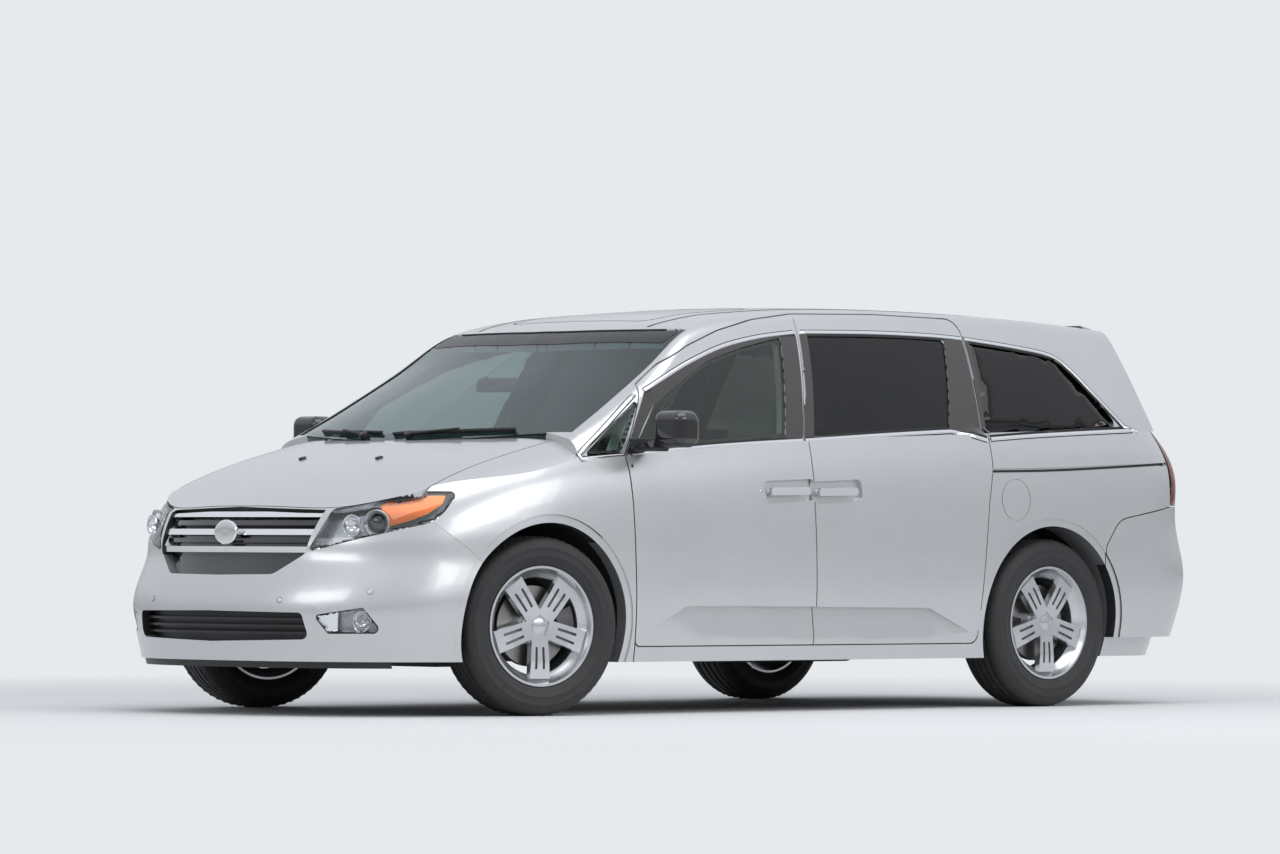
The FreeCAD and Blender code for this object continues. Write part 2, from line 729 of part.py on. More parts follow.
def fuel_door_groove():
    """The ring-shaped gap round the fuel door."""
    x, z = fuel_door_centre
    ring = cylinder(fuel_door_radius, V(x, 800, z), V(x, OUT, z))
    ring = ring.cut(cylinder(fuel_door_radius - fuel_door_gap, V(x, 700, z), V(x, OUT + 1, z)))
    return ring.cut(forms.tub(5.0))


def behind_fender(shift):
    """All that lies behind the front door's front edge, moved forward by shift."""
    edge = [p + V(shift, 0, 0) for p in fender_rear]
    return side_cut([at(0, 0)] + edge + [at(0, 1362)])


front_opening = [at(1045, 330), at(1066, 825), at(1080, 1000), at(1068, 1072), at(900, 1300), at(800, 1372),
                 at(600, 1470), at(413, 1545), at(181, 1600), at(20, 1622), at(150, 1142), at(165, 800),
                 at(150, 330)]
front_opening_radii = [70, 300, 60, 20, 60, 200, 300, 300, 300, 60, 200, 200, 90]
sliding_opening = [at(0, 330), at(10, 891), at(14, 1142), at(-150, 1640), at(-600, 1646), at(-1050, 1638),
                   at(-985, 1157), at(-990, 1046), at(-955, 883), at(-915, 480), at(-880, 330)]
sliding_opening_radii = [90, 300, 200, 60, 600, 90, 300, 200, 300, 300, 90]


def doors_opening(outline):
    radii = front_opening_radii if outline is front_opening else sliding_opening_radii
    return side_cut(outline, 0.0, radii)


def glazed(outline, radii):
    """The rebate and opening for a flush side window."""
    rebate = side_cut(outline, 0.5, radii).cut(forms.top(glass_seat))
    return rebate.fuse(side_cut(outline, -flange, radii))


def side_glass(outline, radii):
    return forms.top(glass_outer).cut(forms.top(glass_inner)).common(side_cut(outline, 0.0, radii, 300.0))


def doors_blank():
    blank = forms.cabin(0, 0).cut(forms.cabin(door_thickness, upper_door))
    return blank.common(doors_cut(0.0))


crease_outline = [at(1104, 296), at(1095, 306), at(808, 452), at(160, 442), at(-632, 434), at(-898, 328),
                  at(-960, 260), at(-960, 200), at(1104, 200)]
crease_section = [(978, 440), (1040, 462), (1040, 200), (988, 200)]


def door_crease():
    """The wedge taken out along the foot of both doors, under their lower character line."""
    wedge = front_prism(crease_section, -1000, 1110)
    return wedge.common(side_cut(crease_outline))


handle_height = 925.0
handle_length = 232.0
handle_front = {"front": 345.0, "sliding": 58.0}
handle_pocket = [(-14, -52), (-30, 44), (264, 56), (274, -34)]
pocket_depth = 22.0


def handle_pocket_cut(front_x):
    """The shallow hand pocket behind a door handle."""
    outline = [at(front_x - along_x, handle_height + up) for along_x, up in handle_pocket]
    pocket = side_cut(outline, 0.0, [22, 22, 22, 22]).common(slab(-400, 500, 900, 1100, 800, 1100))
    return pocket.cut(forms.tub(pocket_depth))


def handle(front_x):
    """A door handle over its pocket, with a foot at each end."""
    grip = forms.tub(-16).cut(forms.tub(-2)).common(slab(-500, 500, 800, 1100, 800, 1100))
    outline = [at(front_x, handle_height - 17), at(front_x, handle_height + 17),
               at(front_x - handle_length, handle_height + 22), at(front_x - handle_length, handle_height - 12)]
    grip = grip.common(side_cut(outline, 0.0, [14, 14, 14, 14]))
    for x in (front_x - 26, front_x - handle_length + 26):
        foot = cylinder(9, V(x, 960, handle_height + 2), V(x, 1020, handle_height + 2))
        grip = grip.fuse(foot.cut(forms.tub(pocket_depth - 0.2)).common(forms.tub(-8)))
    return grip


def front_door():
    """Left front door with its window opening, lower crease and hand pocket."""
    door = doors_blank().cut(behind_middle_pillar(panel_gap / 2 + 0.6))
    door = door.cut(door_crease()).cut(handle_pocket_cut(handle_front["front"]))
    return door.cut(glazed(front_window, front_window_radii))


def sliding_door():
    """Left sliding door with its window opening, lower crease and hand pocket."""
    door = doors_blank().common(behind_middle_pillar(-panel_gap / 2 - 0.6))
    door = door.cut(door_crease()).cut(handle_pocket_cut(handle_front["sliding"]))
    return door.cut(glazed(sliding_window, sliding_window_radii))


def fender():
    """Left front fender, from the door to the bumper and up to the hood."""
    wall = forms.front(0).cut(forms.front(front_wall)).common(slab(1000, 2300, 0, 1100, sill_low, 1300))
    wall = wall.cut(behind_fender(panel_gap + 1))
    rear_top = below_belt(1700, 1000).fuse(slab(pillar_foot_x, 2400, -10, 1100, 0, 1300))
    wall = wall.common(rear_top).cut(forms.tub(front_wall).common(slab(1000, pillar_foot_x, 0, 1100, 0, 1300)))
    wall = wall.cut(bumper_zone(trim_gap))
    wall = wall.cut(hood_space())
    wall = wall.cut(slab(1000, 2300, 0, hood_side_y - 30, 0, 1300))
    wall = wall.cut(windshield_cut(panel_gap + 20))
    wall = wall.cut(lamp_cut(trim_gap)).cut(arch_lip(front_axle_x))
    return wall.cut(arch(front_axle_x, arch_radius))


def bumper_zone(grow):
    points = fender_front + [at(2800, 1200), at(2800, 100)]
    return side_cut(points, grow, [0, 30, 30, 0, 0, 0, 0])


def front_bumper_half():
    wall = forms.front(0).cut(forms.front(front_wall)).common(bumper_zone(0.0))
    wall = wall.common(slab(1000, 2800, 0, 1100, front_bumper_low, 1300))
    wall = wall.cut(hood_space())
    wall = wall.cut(lamp_cut(trim_gap))
    wall = wall.cut(front_cut(grille_outline, 0.0, grille_radii))
    wall = wall.cut(front_cut(lower_intake_outline, 0.0, lower_intake_radii))
    wall = wall.cut(fog_cut(0.0).cut(forms.front(fog_pocket_depth))).cut(arch_lip(front_axle_x))
    return wall.cut(arch(front_axle_x, arch_radius))


fog_outline = [V(2484, 545, 410), V(2378, 726, 442), V(2325, 790, 337), V(2460, 603, 335)]
fog_radii = [14, 18, 22, 14]
fog_pocket_depth = 40.0
fog_view = V(0.8, 0.6, 0)


def fog_cut(grow):
    """A cutter for the left fog lamp's pocket."""
    return cutter(fog_outline, fog_view, 1500.0, 3200.0, grow, fog_radii).common(
        slab(2000, 2700, 500, 1100, 250, 560))


def fog_lamp():
    """Left fog lamp, a block that fills its pocket up to just under the bumper's skin."""
    return forms.front(8).cut(forms.front(fog_pocket_depth - seat_gap)).common(fog_cut(-seat_gap))


grille_outline = [at(0, 570, 0), at(0, 574, 322), at(0, 660, 452), at(0, 835, 478), at(0, 848, 0)]
grille_radii = [0, 60, 40, 12, 0]
lower_intake_outline = [at(0, 300, 0), at(0, 312, 520), at(0, 420, 500), at(0, 425, 0)]
lower_intake_radii = [0, 30, 20, 0]


def front_cut(outline, grow=0.0, radii=0.0):
    """A cutter through the nose with an outline seen along X."""
    return cutter(outline, X_DIR, 2100.0, 2700.0, grow, radii)


def headlamp():
    lamp = forms.front(1.5).cut(forms.front(front_wall)).common(lamp_cut(0.0))
    return lamp.cut(hood_space())


grille_bars = [(828, 806), (757, 733), (686, 662)]
grille_louvres = [(792, 772), (720, 702)]
lower_slats = [(398, 388), (370, 360), (342, 332)]


def bars_between(levels, outer, inner, outline, radii):
    """Horizontal bars in an opening, one for each pair of upper and lower edges."""
    layer = forms.front(outer).cut(forms.front(inner)).common(front_cut(outline, -seat_gap, radii))
    return [layer.common(slab(2000, 2700, -10, 1100, low, high)) for high, low in levels]


def grille():
    """The upper grille: its back panel, three broad bars and the louvres between them."""
    panel = forms.front(44).cut(forms.front(front_wall)).common(front_cut(grille_outline, -seat_gap, grille_radii))
    bars = bars_between(grille_bars, 10, 46, grille_outline, grille_radii)
    louvres = bars_between(grille_louvres, 26, 46, grille_outline, grille_radii)
    return panel.fuse(bars + louvres).cut(hood_space()).cut(lamp_cut(trim_gap))


def lower_grille():
    """The lower grille: its back panel and slats."""
    panel = forms.front(48).cut(forms.front(front_wall)).common(
        front_cut(lower_intake_outline, -seat_gap, lower_intake_radii))
    return panel.fuse(bars_between(lower_slats, 26, 50, lower_intake_outline, lower_intake_radii))


def hood():
    panel = forms.hood(0).cut(forms.hood(hood_thickness)).common(hood_cut(0.0))
    return panel.common(slab(1000, 2700, -1100, 1100, 700, 1300))


def roof():
    top = across(forms.top(0)).cut(across(forms.top(roof_thickness)))
    return top.common(roof_cut(0.0)).common(slab(-2700, 1700, -1100, 1100, 1500, 1900))


def windshield():
    glass = across(forms.top(glass_outer)).cut(across(forms.top(glass_inner)))
    return glass.common(windshield_cut(0.0))


def tailgate():
    wall = forms.cabin(0, 0).cut(forms.cabin(door_thickness, upper_door)).common(tailgate_cut(0.0))
    wall = wall.cut(tail_glazed()).cut(plate_recess())
    return across(wall.fuse(spoiler()))


spoiler_profile = [at(-2060, 1690), at(-2372, 1624), at(-2384, 1610), at(-2216, 1594), at(-2150, 1640)]
spoiler_radii = [0, 14, 8, 60, 0]
spoiler_half = 560.0
plate_top = 960.0
plate_low = 790.0
plate_half = 176.0
plate_depth = 22.0


def spoiler():
    """Left half of the spoiler over the rear window."""
    blade = side_prism([(point.x, point.z) for point in spoiler_profile], 0, spoiler_half, spoiler_radii)
    sweep = top_prism([(-1900, 0), (-1900, spoiler_half), (-2200, spoiler_half), (-2345, 470), (-2384, 0)],
                      1500, 1800, [0, 0, 60, 60, 0])
    return blade.common(sweep)


def plate_recess():
    """Left half of the shallow recess for the number plate."""
    recess = slab(-2700, -2200, -1, plate_half, plate_low, plate_top)
    return recess.cut(forms.tub(plate_depth))


def tail_window_cut(grow):
    low, high = tail_window_side
    points = [V(low.x, -700, low.z - grow), V(low.x, low.y + grow, low.z - grow),
              V(high.x, high.y + grow, high.z + grow), V(high.x, -700, high.z + grow)]
    return prism(points, X_DIR, -2700, -2030, [0, 40, 50, 0]).common(slab(-2700, -1900, -1, 1100, 900, 1800))


def tail_glazed():
    return tail_window_cut(0.5).cut(forms.top(glass_seat)).fuse(tail_window_cut(-flange))


def tail_glass():
    glass = forms.top(glass_outer).cut(forms.top(glass_inner)).common(tail_window_cut(0.0))
    return across(glass)


def rear_bumper():
    wall = forms.tub(0).cut(forms.tub(front_wall)).common(side_cut(rear_bumper_top, 0.0, rear_bumper_radii))
    wall = wall.common(slab(-2700, 0, 0, 1100, rear_bumper_low, 1300)).cut(tailgate_cut(panel_gap))
    wall = wall.cut(side_cut(tail_lamp, trim_gap, tail_lamp_radii)).cut(arch(rear_axle_x, arch_radius))
    return across(wall.cut(arch_lip(rear_axle_x)))


def tail_lamp_piece():
    lamp = forms.tub(1).cut(forms.tub(front_wall)).common(side_cut(tail_lamp, 0.0, tail_lamp_radii))
    return lamp.cut(tailgate_cut(panel_gap))


# The parts under and inside the body

floor_low = 292.0
floor_thickness = 34.0
rear_floor_low = 334.0
rear_rail_low = 296.0
firewall_x = 1290.0
firewall_thickness = 30.0
rail_inner_y = 440.0
rail_outer_y = 520.0
rail_low = 420.0
rail_high = 520.0
front_inner_wall_y = 530.0
rear_inner_wall_y = 690.0
liner_thickness = 6.0
inner_inset = lower_frame + seat_gap
carrier_x = 2260.0
seat_floor = floor_low + floor_thickness


def boxed(x0, x1, y0, y1, z0, z1, radius):
    """A block with all its edges rounded."""
    block = slab(x0, x1, y0, y1, z0, z1)
    return block.makeFillet(radius, block.Edges)


def wheelhouse(x, inner_y, reach, low):
    """Left wheelhouse: the round liner over the wheel and the wall on its inner side."""
    centre = V(x, inner_y, hub_height + arch_rise)
    wide = cylinder(liner_outer, centre, V(x, 1100, centre.z))
    shell = wide.cut(cylinder(liner_inner, V(x, inner_y + liner_thickness, centre.z), V(x, 1200, centre.z)))
    shell = shell.common(reach).common(slab(x - 600, x + 600, 0, 1100, low, 1100))
    return shell.cut(slab(x - 170, x + 170, inner_y - 10, inner_y + 20, 0, 540))


floor_joint_x = -880.0
floor_section = [at(firewall_x, floor_low), at(-900, floor_low), at(-1060, rear_floor_low), at(-2360, rear_floor_low),
                 at(-2360, rear_floor_low + floor_thickness), at(-1075, rear_floor_low + floor_thickness),
                 at(-915, floor_low + floor_thickness), at(firewall_x, floor_low + floor_thickness)]


def floor_between(back, front):
    """Left half of the floor from back to front, up to the sills' inner faces."""
    return side_cut(floor_section).common(slab(back, front, 0, 1100, 0, 600)).common(forms.tub(inner_inset))


def floor_pan():
    """The flat front floor, from the firewall back to its joint with the rear floor."""
    left = floor_between(floor_joint_x, firewall_x - seat_gap)
    return across(left.cut(arch(front_axle_x, liner_outer + seat_gap, front_inner_wall_y - seat_gap)))


def rear_floor():
    """Left half of the stepped rear floor with its rail and wheelhouse."""
    inside = forms.tub(inner_inset)
    left = floor_between(-3000, floor_joint_x - seat_gap)
    left = left.cut(arch(rear_axle_x, liner_inner + 1, rear_inner_wall_y))
    left = left.fuse(wheelhouse(rear_axle_x, rear_inner_wall_y, inside, rear_floor_low))
    return left.fuse(slab(-2330, -1060, 460, 530, rear_rail_low, rear_floor_low + 5).common(inside))


def front_structure():
    """Left half of the firewall with its frame rail, wheelhouse and the front carrier."""
    wall = slab(firewall_x, firewall_x + firewall_thickness, 0, 1000, floor_low, 1300)
    left = wall.common(forms.front(inner_inset)).common(forms.hood(cowl_low + seat_gap))
    left = left.cut(arch(front_axle_x, liner_inner + 1, front_inner_wall_y))
    left = left.fuse(wheelhouse(front_axle_x, front_inner_wall_y, forms.front(front_wall + seat_gap), 255))
    rails = slab(firewall_x, carrier_x + 160, rail_inner_y, rail_outer_y, rail_low, rail_high)
    beams = slab(carrier_x, carrier_x + 34, 0, 600, 330, 372)
    beams = beams.fuse(slab(carrier_x, carrier_x + 34, 510, 600, 330, 800))
    beams = beams.fuse(slab(carrier_x, carrier_x + 34, 0, 600, 760, 800))
    beams = beams.fuse(slab(carrier_x + 120, carrier_x + 190, 0, 600, 430, 510))
    return left.fuse(rails.fuse(beams).common(forms.front(front_wall + seat_gap)))


def underbody():
    """The firewall with all that stands ahead of it, and the rear floor."""
    return Part.makeCompound([across(front_structure()), across(rear_floor())])


cowl_low = 72.0
cowl_half = 745.0


def cowl():
    """The panel under the windshield's foot, with the two wipers' shafts standing on it."""
    count = 6
    front = [V(windshield_low_x + cowl_gap + 45 - windshield_sweep_rate * y * y, y, 0)
             for y in (cowl_half * k / count for k in range(count + 1))]
    left = [curve_edge(front), Part.makeLine(front[-1], V(firewall_x, cowl_half, 0)),
            Part.makeLine(V(firewall_x, cowl_half, 0), V(firewall_x, 0, 0))]
    wire = Part.Wire(Part.__sortEdges__(left + [mirrored(edge) for edge in left]))
    plan = Part.Face(wire).extrude(V(0, 0, 2000))
    return forms.hood(hood_thickness + seat_gap).cut(forms.hood(cowl_low)).common(plan)


dash_half = 800.0
steering_wheel_y = 380.0
steering_wheel_radius = 185.0


def dashboard():
    """The instrument panel from side to side, with the steering column and wheel on the left."""
    outline = [at(firewall_x - seat_gap, 1120), at(1160, 1122), at(985, 1088), at(930, 1030), at(925, 930),
               at(985, 820), at(1100, 640), at(firewall_x - seat_gap, 600)]
    panel = side_prism([(p.x, p.z) for p in outline], -dash_half, dash_half, [0, 60, 60, 40, 50, 60, 60, 0])
    centre = V(800, steering_wheel_y, 965)
    lean = V(math.cos(math.radians(-22.0)), 0, math.sin(math.radians(-22.0)))
    ring = Part.makeTorus(steering_wheel_radius, 15.0, centre, lean)
    hub = cylinder(62, centre - lean * 8, centre + lean * 45)
    column = cylinder(34, centre + lean * 20, centre + lean * 230)
    spokes = [cylinder(13, centre, centre + V(0, side * steering_wheel_radius, 0)) for side in (-1, 1)]
    spokes.append(cylinder(13, centre, centre + lean.cross(Y_DIR) * steering_wheel_radius))
    house = arch(front_axle_x, liner_outer + seat_gap, front_inner_wall_y - seat_gap)
    panel = panel.cut(house).cut(mirrored(house))
    return panel.fuse([ring, hub, column] + spokes)


def seat(x, y, width, base_z, lean_deg=18.0):
    """One seat on its base: cushion, back and headrest, its front edge at x."""
    half = width / 2
    depth = 520.0
    cushion = boxed(x - depth, x, y - half, y + half, base_z + 150, base_z + 300, 45)
    base = slab(x - depth + 60, x - 60, y - half + 50, y + half - 50, base_z, base_z + 190)
    back = boxed(x - depth - 60, x - depth + 60, y - half, y + half, base_z + 180, base_z + 820, 45)
    rest = boxed(x - depth - 45, x - depth + 45, y - 130, y + 130, base_z + 850, base_z + 1030, 38)
    post = slab(x - depth - 8, x - depth + 8, y - 60, y + 60, base_z + 780, base_z + 900)
    upper = back.fuse([rest, post])
    upper.rotate(V(x - depth, y, base_z + 220), Y_DIR, -lean_deg)
    return base.fuse([cushion, upper])


def front_seats():
    base = seat_floor + seat_gap
    return Part.makeCompound([seat(560, side * 390, 500, base) for side in (-1, 1)])


def rear_seats():
    base = seat_floor + seat_gap
    high = rear_floor_low + floor_thickness + seat_gap
    pieces = [seat(-330, side * 400, 480, base) for side in (-1, 1)]
    pieces.append(seat(-1210, 0, 1120, high, 14.0))
    return Part.makeCompound(pieces)


def engine():
    """The engine and gearbox as one plain block between the rails."""
    block = slab(1430, 2120, -(rail_inner_y - seat_gap), rail_inner_y - seat_gap, 330, 830)
    edges = [edge for edge in block.Edges if edge.BoundBox.YLength > 100 or edge.BoundBox.ZLength > 100]
    return block.makeFillet(40, edges)


tank_low = 196.0


def fuel_tank():
    return boxed(-760, -60, -430, 430, tank_low, floor_low - seat_gap, 30)


def exhaust():
    """The exhaust pipe under the floor, with its middle box and its silencer."""
    height = floor_low - 40.0
    route = [V(1080, -520, height), V(-700, -520, height), V(-920, -560, height), V(-1200, -560, height)]
    pipe = cylinder(26, route[0], route[1])
    body = boxed(100, 560, -600, -440, height - 34, floor_low - seat_gap, 30)
    for a, b in zip(route[1:], route[2:]):
        pipe = pipe.fuse([cylinder(26, a, b), Part.makeSphere(26, a)])
    return pipe.fuse(body)


# Wheels, brakes and suspension

spoke_count = 5
hub_face = 50.0
spoke_face = 92.0
disc_radius = 165.0
disc_inner_face = -5.0
disc_outer_face = 23.0
disc_hat_radius = 84.0
shaft_radius = 30.0
bearing_gap = 0.1
hub_flange_radius = 62.0
hub_flange_face = -18.0
carrier_inner = -72.0
barrel_inner_radius = 199.0
rim_profile = [(246, 103), (246, 97), (232, 94), (230, 74), (206, 54), (206, -58), (230, -80), (232, -94),
               (246, -97), (246, -103), (237, -103), (222, -84), (199, -62), (199, 54), (222, 78), (236, 103)]


def revolved(profile):
    """A ring about the Y axis from (radius, y) points."""
    points = [V(r, y, 0) for r, y in profile]
    wire = Part.makePolygon(points + points[:1])
    return Part.Face(wire).revolve(V(0, 0, 0), Y_DIR, 360)


def tyre():
    """The tyre about the Y axis: bead, sidewall, shoulder and crowned tread."""
    half = tyre_width / 2
    r = tyre_radius

    def arc(a, b, c):
        return Part.Arc(V(a[0], a[1], 0), V(b[0], b[1], 0), V(c[0], c[1], 0)).toShape()

    def line(a, b):
        return Part.makeLine(V(a[0], a[1], 0), V(b[0], b[1], 0))

    def side(sign):
        return [(232.6, 93.7 * sign), (247, 96.8 * sign), (249, 104 * sign), (300, half * sign), (340, 110 * sign),
                (r - 6, 92 * sign), (r - 1.5, 72 * sign)]

    left, right = side(1), side(-1)
    edges = []
    for s in (left, right):
        edges += [line(s[0], s[1]), line(s[1], s[2]), arc(s[2], s[3], s[4]),
                  arc(s[4], (r - 14, s[4][1] * 0.955), s[5]), line(s[5], s[6])]
    edges.append(arc(left[6], (r, 0), right[6]))
    bead = [(232.6, 93.7), (232.6, 86), (262, 90), (330, 96), (346, 60), (348, 0)]
    inner = bead[1:] + [(a, -b) for a, b in reversed(bead[1:-1])]
    inner = [bead[0]] + inner + [(232.6, -93.7)]
    edges += [line(a, b) for a, b in zip(inner, inner[1:])]
    wire = Part.Wire(Part.__sortEdges__(edges))
    return Part.Face(wire).revolve(V(0, 0, 0), Y_DIR, 360)


spoke_slots = [(84, 176)]
spoke_slot_half = 5.5
spoke_slot_middle = 15.5


def spoke(angle_deg):
    """One broad spoke from the hub to the rim, with two long slots in its face, turned to its place."""
    outline = [V(-38, 0, 40), V(38, 0, 40), V(47, 0, 214), V(-47, 0, 214)]
    arm = prism(outline, Y_DIR, hub_face + 6, spoke_face)
    crown = revolved([(0, hub_face), (208, hub_face + 12), (228, hub_face + 26), (228, 88), (150, spoke_face),
                      (0, spoke_face - 6)])
    arm = arm.common(crown)
    for side in (-1, 1):
        for low, high in spoke_slots:
            middle = side * spoke_slot_middle
            slot = [V(middle - spoke_slot_half, 0, low), V(middle + spoke_slot_half, 0, low),
                    V(middle * 1.2 + spoke_slot_half, 0, high), V(middle * 1.2 - spoke_slot_half, 0, high)]
            arm = arm.cut(prism(slot, Y_DIR, hub_face + 22, spoke_face + 5, [5, 5, 5, 5]))
    arm.rotate(V(0, 0, 0), Y_DIR, angle_deg)
    return arm


def rim():
    """The alloy wheel: barrel, hub disc and five pairs of spokes."""
    body = revolved(rim_profile)
    hub = cylinder(76, V(0, hub_face, 0), V(0, spoke_face - 14, 0))
    spokes = [spoke(180.0 + 360.0 / spoke_count * k) for k in range(spoke_count)]
    return body.fuse([hub] + spokes)


def brake_disc():
    """The brake disc with its hat, and the hub shaft that carries the wheel."""
    profile = [(0, hub_face - seat_gap), (disc_hat_radius, hub_face - seat_gap),
               (disc_hat_radius, disc_outer_face), (disc_radius, disc_outer_face),
               (disc_radius, disc_inner_face), (hub_flange_radius, disc_inner_face),
               (hub_flange_radius, hub_flange_face), (shaft_radius, hub_flange_face),
               (shaft_radius, carrier_inner), (0, carrier_inner)]
    return revolved(profile)


def placed(shape, side, x, steer_deg=0.0):
    """A wheel piece, made about the origin with its outer face towards +Y, put at its hub."""
    shape = shape.copy()
    if side < 0:
        shape = mirrored(shape)
    if steer_deg:
        shape.translate(V(0, side * kingpin_inboard, 0))
        shape.rotate(V(0, 0, 0), Z_DIR, steer_deg)
        shape.translate(V(0, -side * kingpin_inboard, 0))
    shape.translate(V(x, side * wheel_y, hub_height))
    return shape


def carrier_ring():
    """The bearing housing that the hub shaft turns in."""
    return revolved([(shaft_radius + bearing_gap, hub_flange_face - seat_gap), (56, hub_flange_face - seat_gap),
                     (56, carrier_inner), (shaft_radius + bearing_gap, carrier_inner)])


def caliper(angle_deg):
    """A brake caliper reaching over the disc's edge."""
    near_face, far_face = disc_inner_face - 6, disc_outer_face + 7
    block = revolved([(118, near_face), (118, -34), (190, -34), (190, 40), (112, 40), (112, far_face),
                      (disc_radius + 6, far_face), (disc_radius + 6, near_face)])
    wedge = prism([V(0, 0, 0), V(300, 0, 96), V(300, 0, -96)], Y_DIR, -60, 60)
    block = block.common(wedge)
    arm = slab(50, 150, -50, -24, -30, 30)
    block = block.fuse(arm)
    block.rotate(V(0, 0, 0), Y_DIR, angle_deg)
    return block


pivot_half_height = 112.0
pivot_radius = 22.0


def knuckle():
    """Front steering knuckle: bearing housing, upper and lower pivots, steering arm and caliper."""
    post_y = -kingpin_inboard
    ring = carrier_ring()
    bore = cylinder(shaft_radius + bearing_gap, V(0, -200, 0), V(0, 50, 0))
    post = slab(-20, 20, post_y - 18, post_y + 14, -pivot_half_height, pivot_half_height)
    bosses = [cylinder(pivot_radius, V(0, post_y, sign * (pivot_half_height - 26)),
                       V(0, post_y, sign * pivot_half_height)) for sign in (-1, 1)]
    arm = slab(-112, -10, post_y - 14, post_y + 10, -66, -40)
    body = ring.fuse([post] + bosses + [arm]).cut(bore)
    return body.fuse(caliper(180.0 + 8.0)).cut(bore)


def front_suspension():
    """Subframe with the lower arms and the steering rack, and the struts with their feet."""
    x = front_axle_x
    pivot_y = wheel_y - kingpin_inboard
    low = hub_height - pivot_half_height - seat_gap
    high = hub_height + pivot_half_height + seat_gap
    sub = slab(x - 150, x + 110, -400, 400, low - 62, low - 12)
    rack = cylinder(24, V(x - 170, -430, low + 20), V(x - 170, 430, low + 20))
    lugs = slab(x - 190, x - 130, -300, 300, low - 40, low + 20)
    arms = []
    struts = []
    for side in (-1, 1):
        tip = V(x, side * pivot_y, 0)
        outline = [V(x - 120, side * 380, 0), V(x + 95, side * 380, 0), V(x + 24, side * (pivot_y - 60), 0),
                   V(x + 24, side * (pivot_y + 18), 0), V(x - 24, side * (pivot_y + 18), 0),
                   V(x - 24, side * (pivot_y - 60), 0)]
        arms.append(prism(outline, Z_DIR, low - 34, low, [0, 0, 60, 16, 16, 60]))
        foot_outline = [V(x - 22, side * (pivot_y + 18), 0), V(x + 22, side * (pivot_y + 18), 0),
                        V(x + 26, side * 620, 0), V(x - 26, side * 620, 0)]
        foot = prism(foot_outline, Z_DIR, high, high + 30, [14, 14, 0, 0])
        base = V(x, side * 648, high + 4)
        head = V(x, side * 606, 780)
        body = cylinder(27, base, base + (head - base) * 0.62)
        rod = cylinder(13, base, head)
        cap = cylinder(62, V(x, side * 606, 772), V(x, side * 606, strut_top(side * 606)))
        struts.append(foot.fuse([body, rod, cap]))
    return Part.makeCompound([sub.fuse(arms + [rack, lugs])] + struts)


def strut_top(y):
    """The height of the underside of the front wheelhouse over the strut's edge."""
    return hub_height + arch_rise + math.sqrt(liner_inner**2 - 62.0**2) - seat_gap


def rear_suspension():
    """Rear axle beam with its trailing links, hub plates, bearing housings and brake calipers."""
    x = rear_axle_x
    plate_outer = wheel_y - tyre_width / 2 - 10
    beam = cylinder(34, V(x + 110, -plate_outer, rear_beam_height), V(x + 110, plate_outer, rear_beam_height))
    pieces = []
    for side in (-1, 1):
        plate = slab(x - 60, x + 150, plate_outer - 36, plate_outer, rear_beam_height - 20, hub_height + 56)
        stub = cylinder(48, V(x, plate_outer - 10, hub_height), V(x, wheel_y + carrier_inner - 10, hub_height))
        stub = stub.fuse(cylinder(56, V(x, wheel_y + carrier_inner - 12, hub_height),
                                  V(x, wheel_y + carrier_inner + 0.5, hub_height)))
        link = slab(x + 100, x + 330, 602, 652, rear_beam_height - 26, rear_beam_height + 30)
        foot = slab(x + 290, x + 330, 602, 652, rear_beam_height, rear_floor_low - seat_gap)
        group = [plate, stub, link, foot]
        if side < 0:
            group = [mirrored(piece) for piece in group]
        pieces += group + [placed(carrier_ring(), side, x), placed(rear_caliper(), side, x)]
    body = beam.fuse(pieces)
    bore = cylinder(shaft_radius + bearing_gap, V(0, carrier_inner - seat_gap, 0), V(0, 50, 0))
    for side in (-1, 1):
        body = body.cut(placed(bore, side, x))
    return body


rear_beam_height = 255.0


def rear_caliper():
    """The rear brake caliper with the bracket that joins it to the bearing housing."""
    return caliper(8.0)


def mirror():
    """Left door mirror: its foot on the door's corner and its rounded housing."""
    shell = boxed(955, 1082, 1046, 1218, 1100, 1252, 40)
    foot = prism([V(1105, 0, 1085), V(1010, 0, 1085), V(1010, 0, 1140), V(1090, 0, 1140)], Y_DIR, 900, 1080,
                 [12, 12, 12, 12])
    return shell.fuse(foot.cut(forms.cabin(-seat_gap, -seat_gap)))


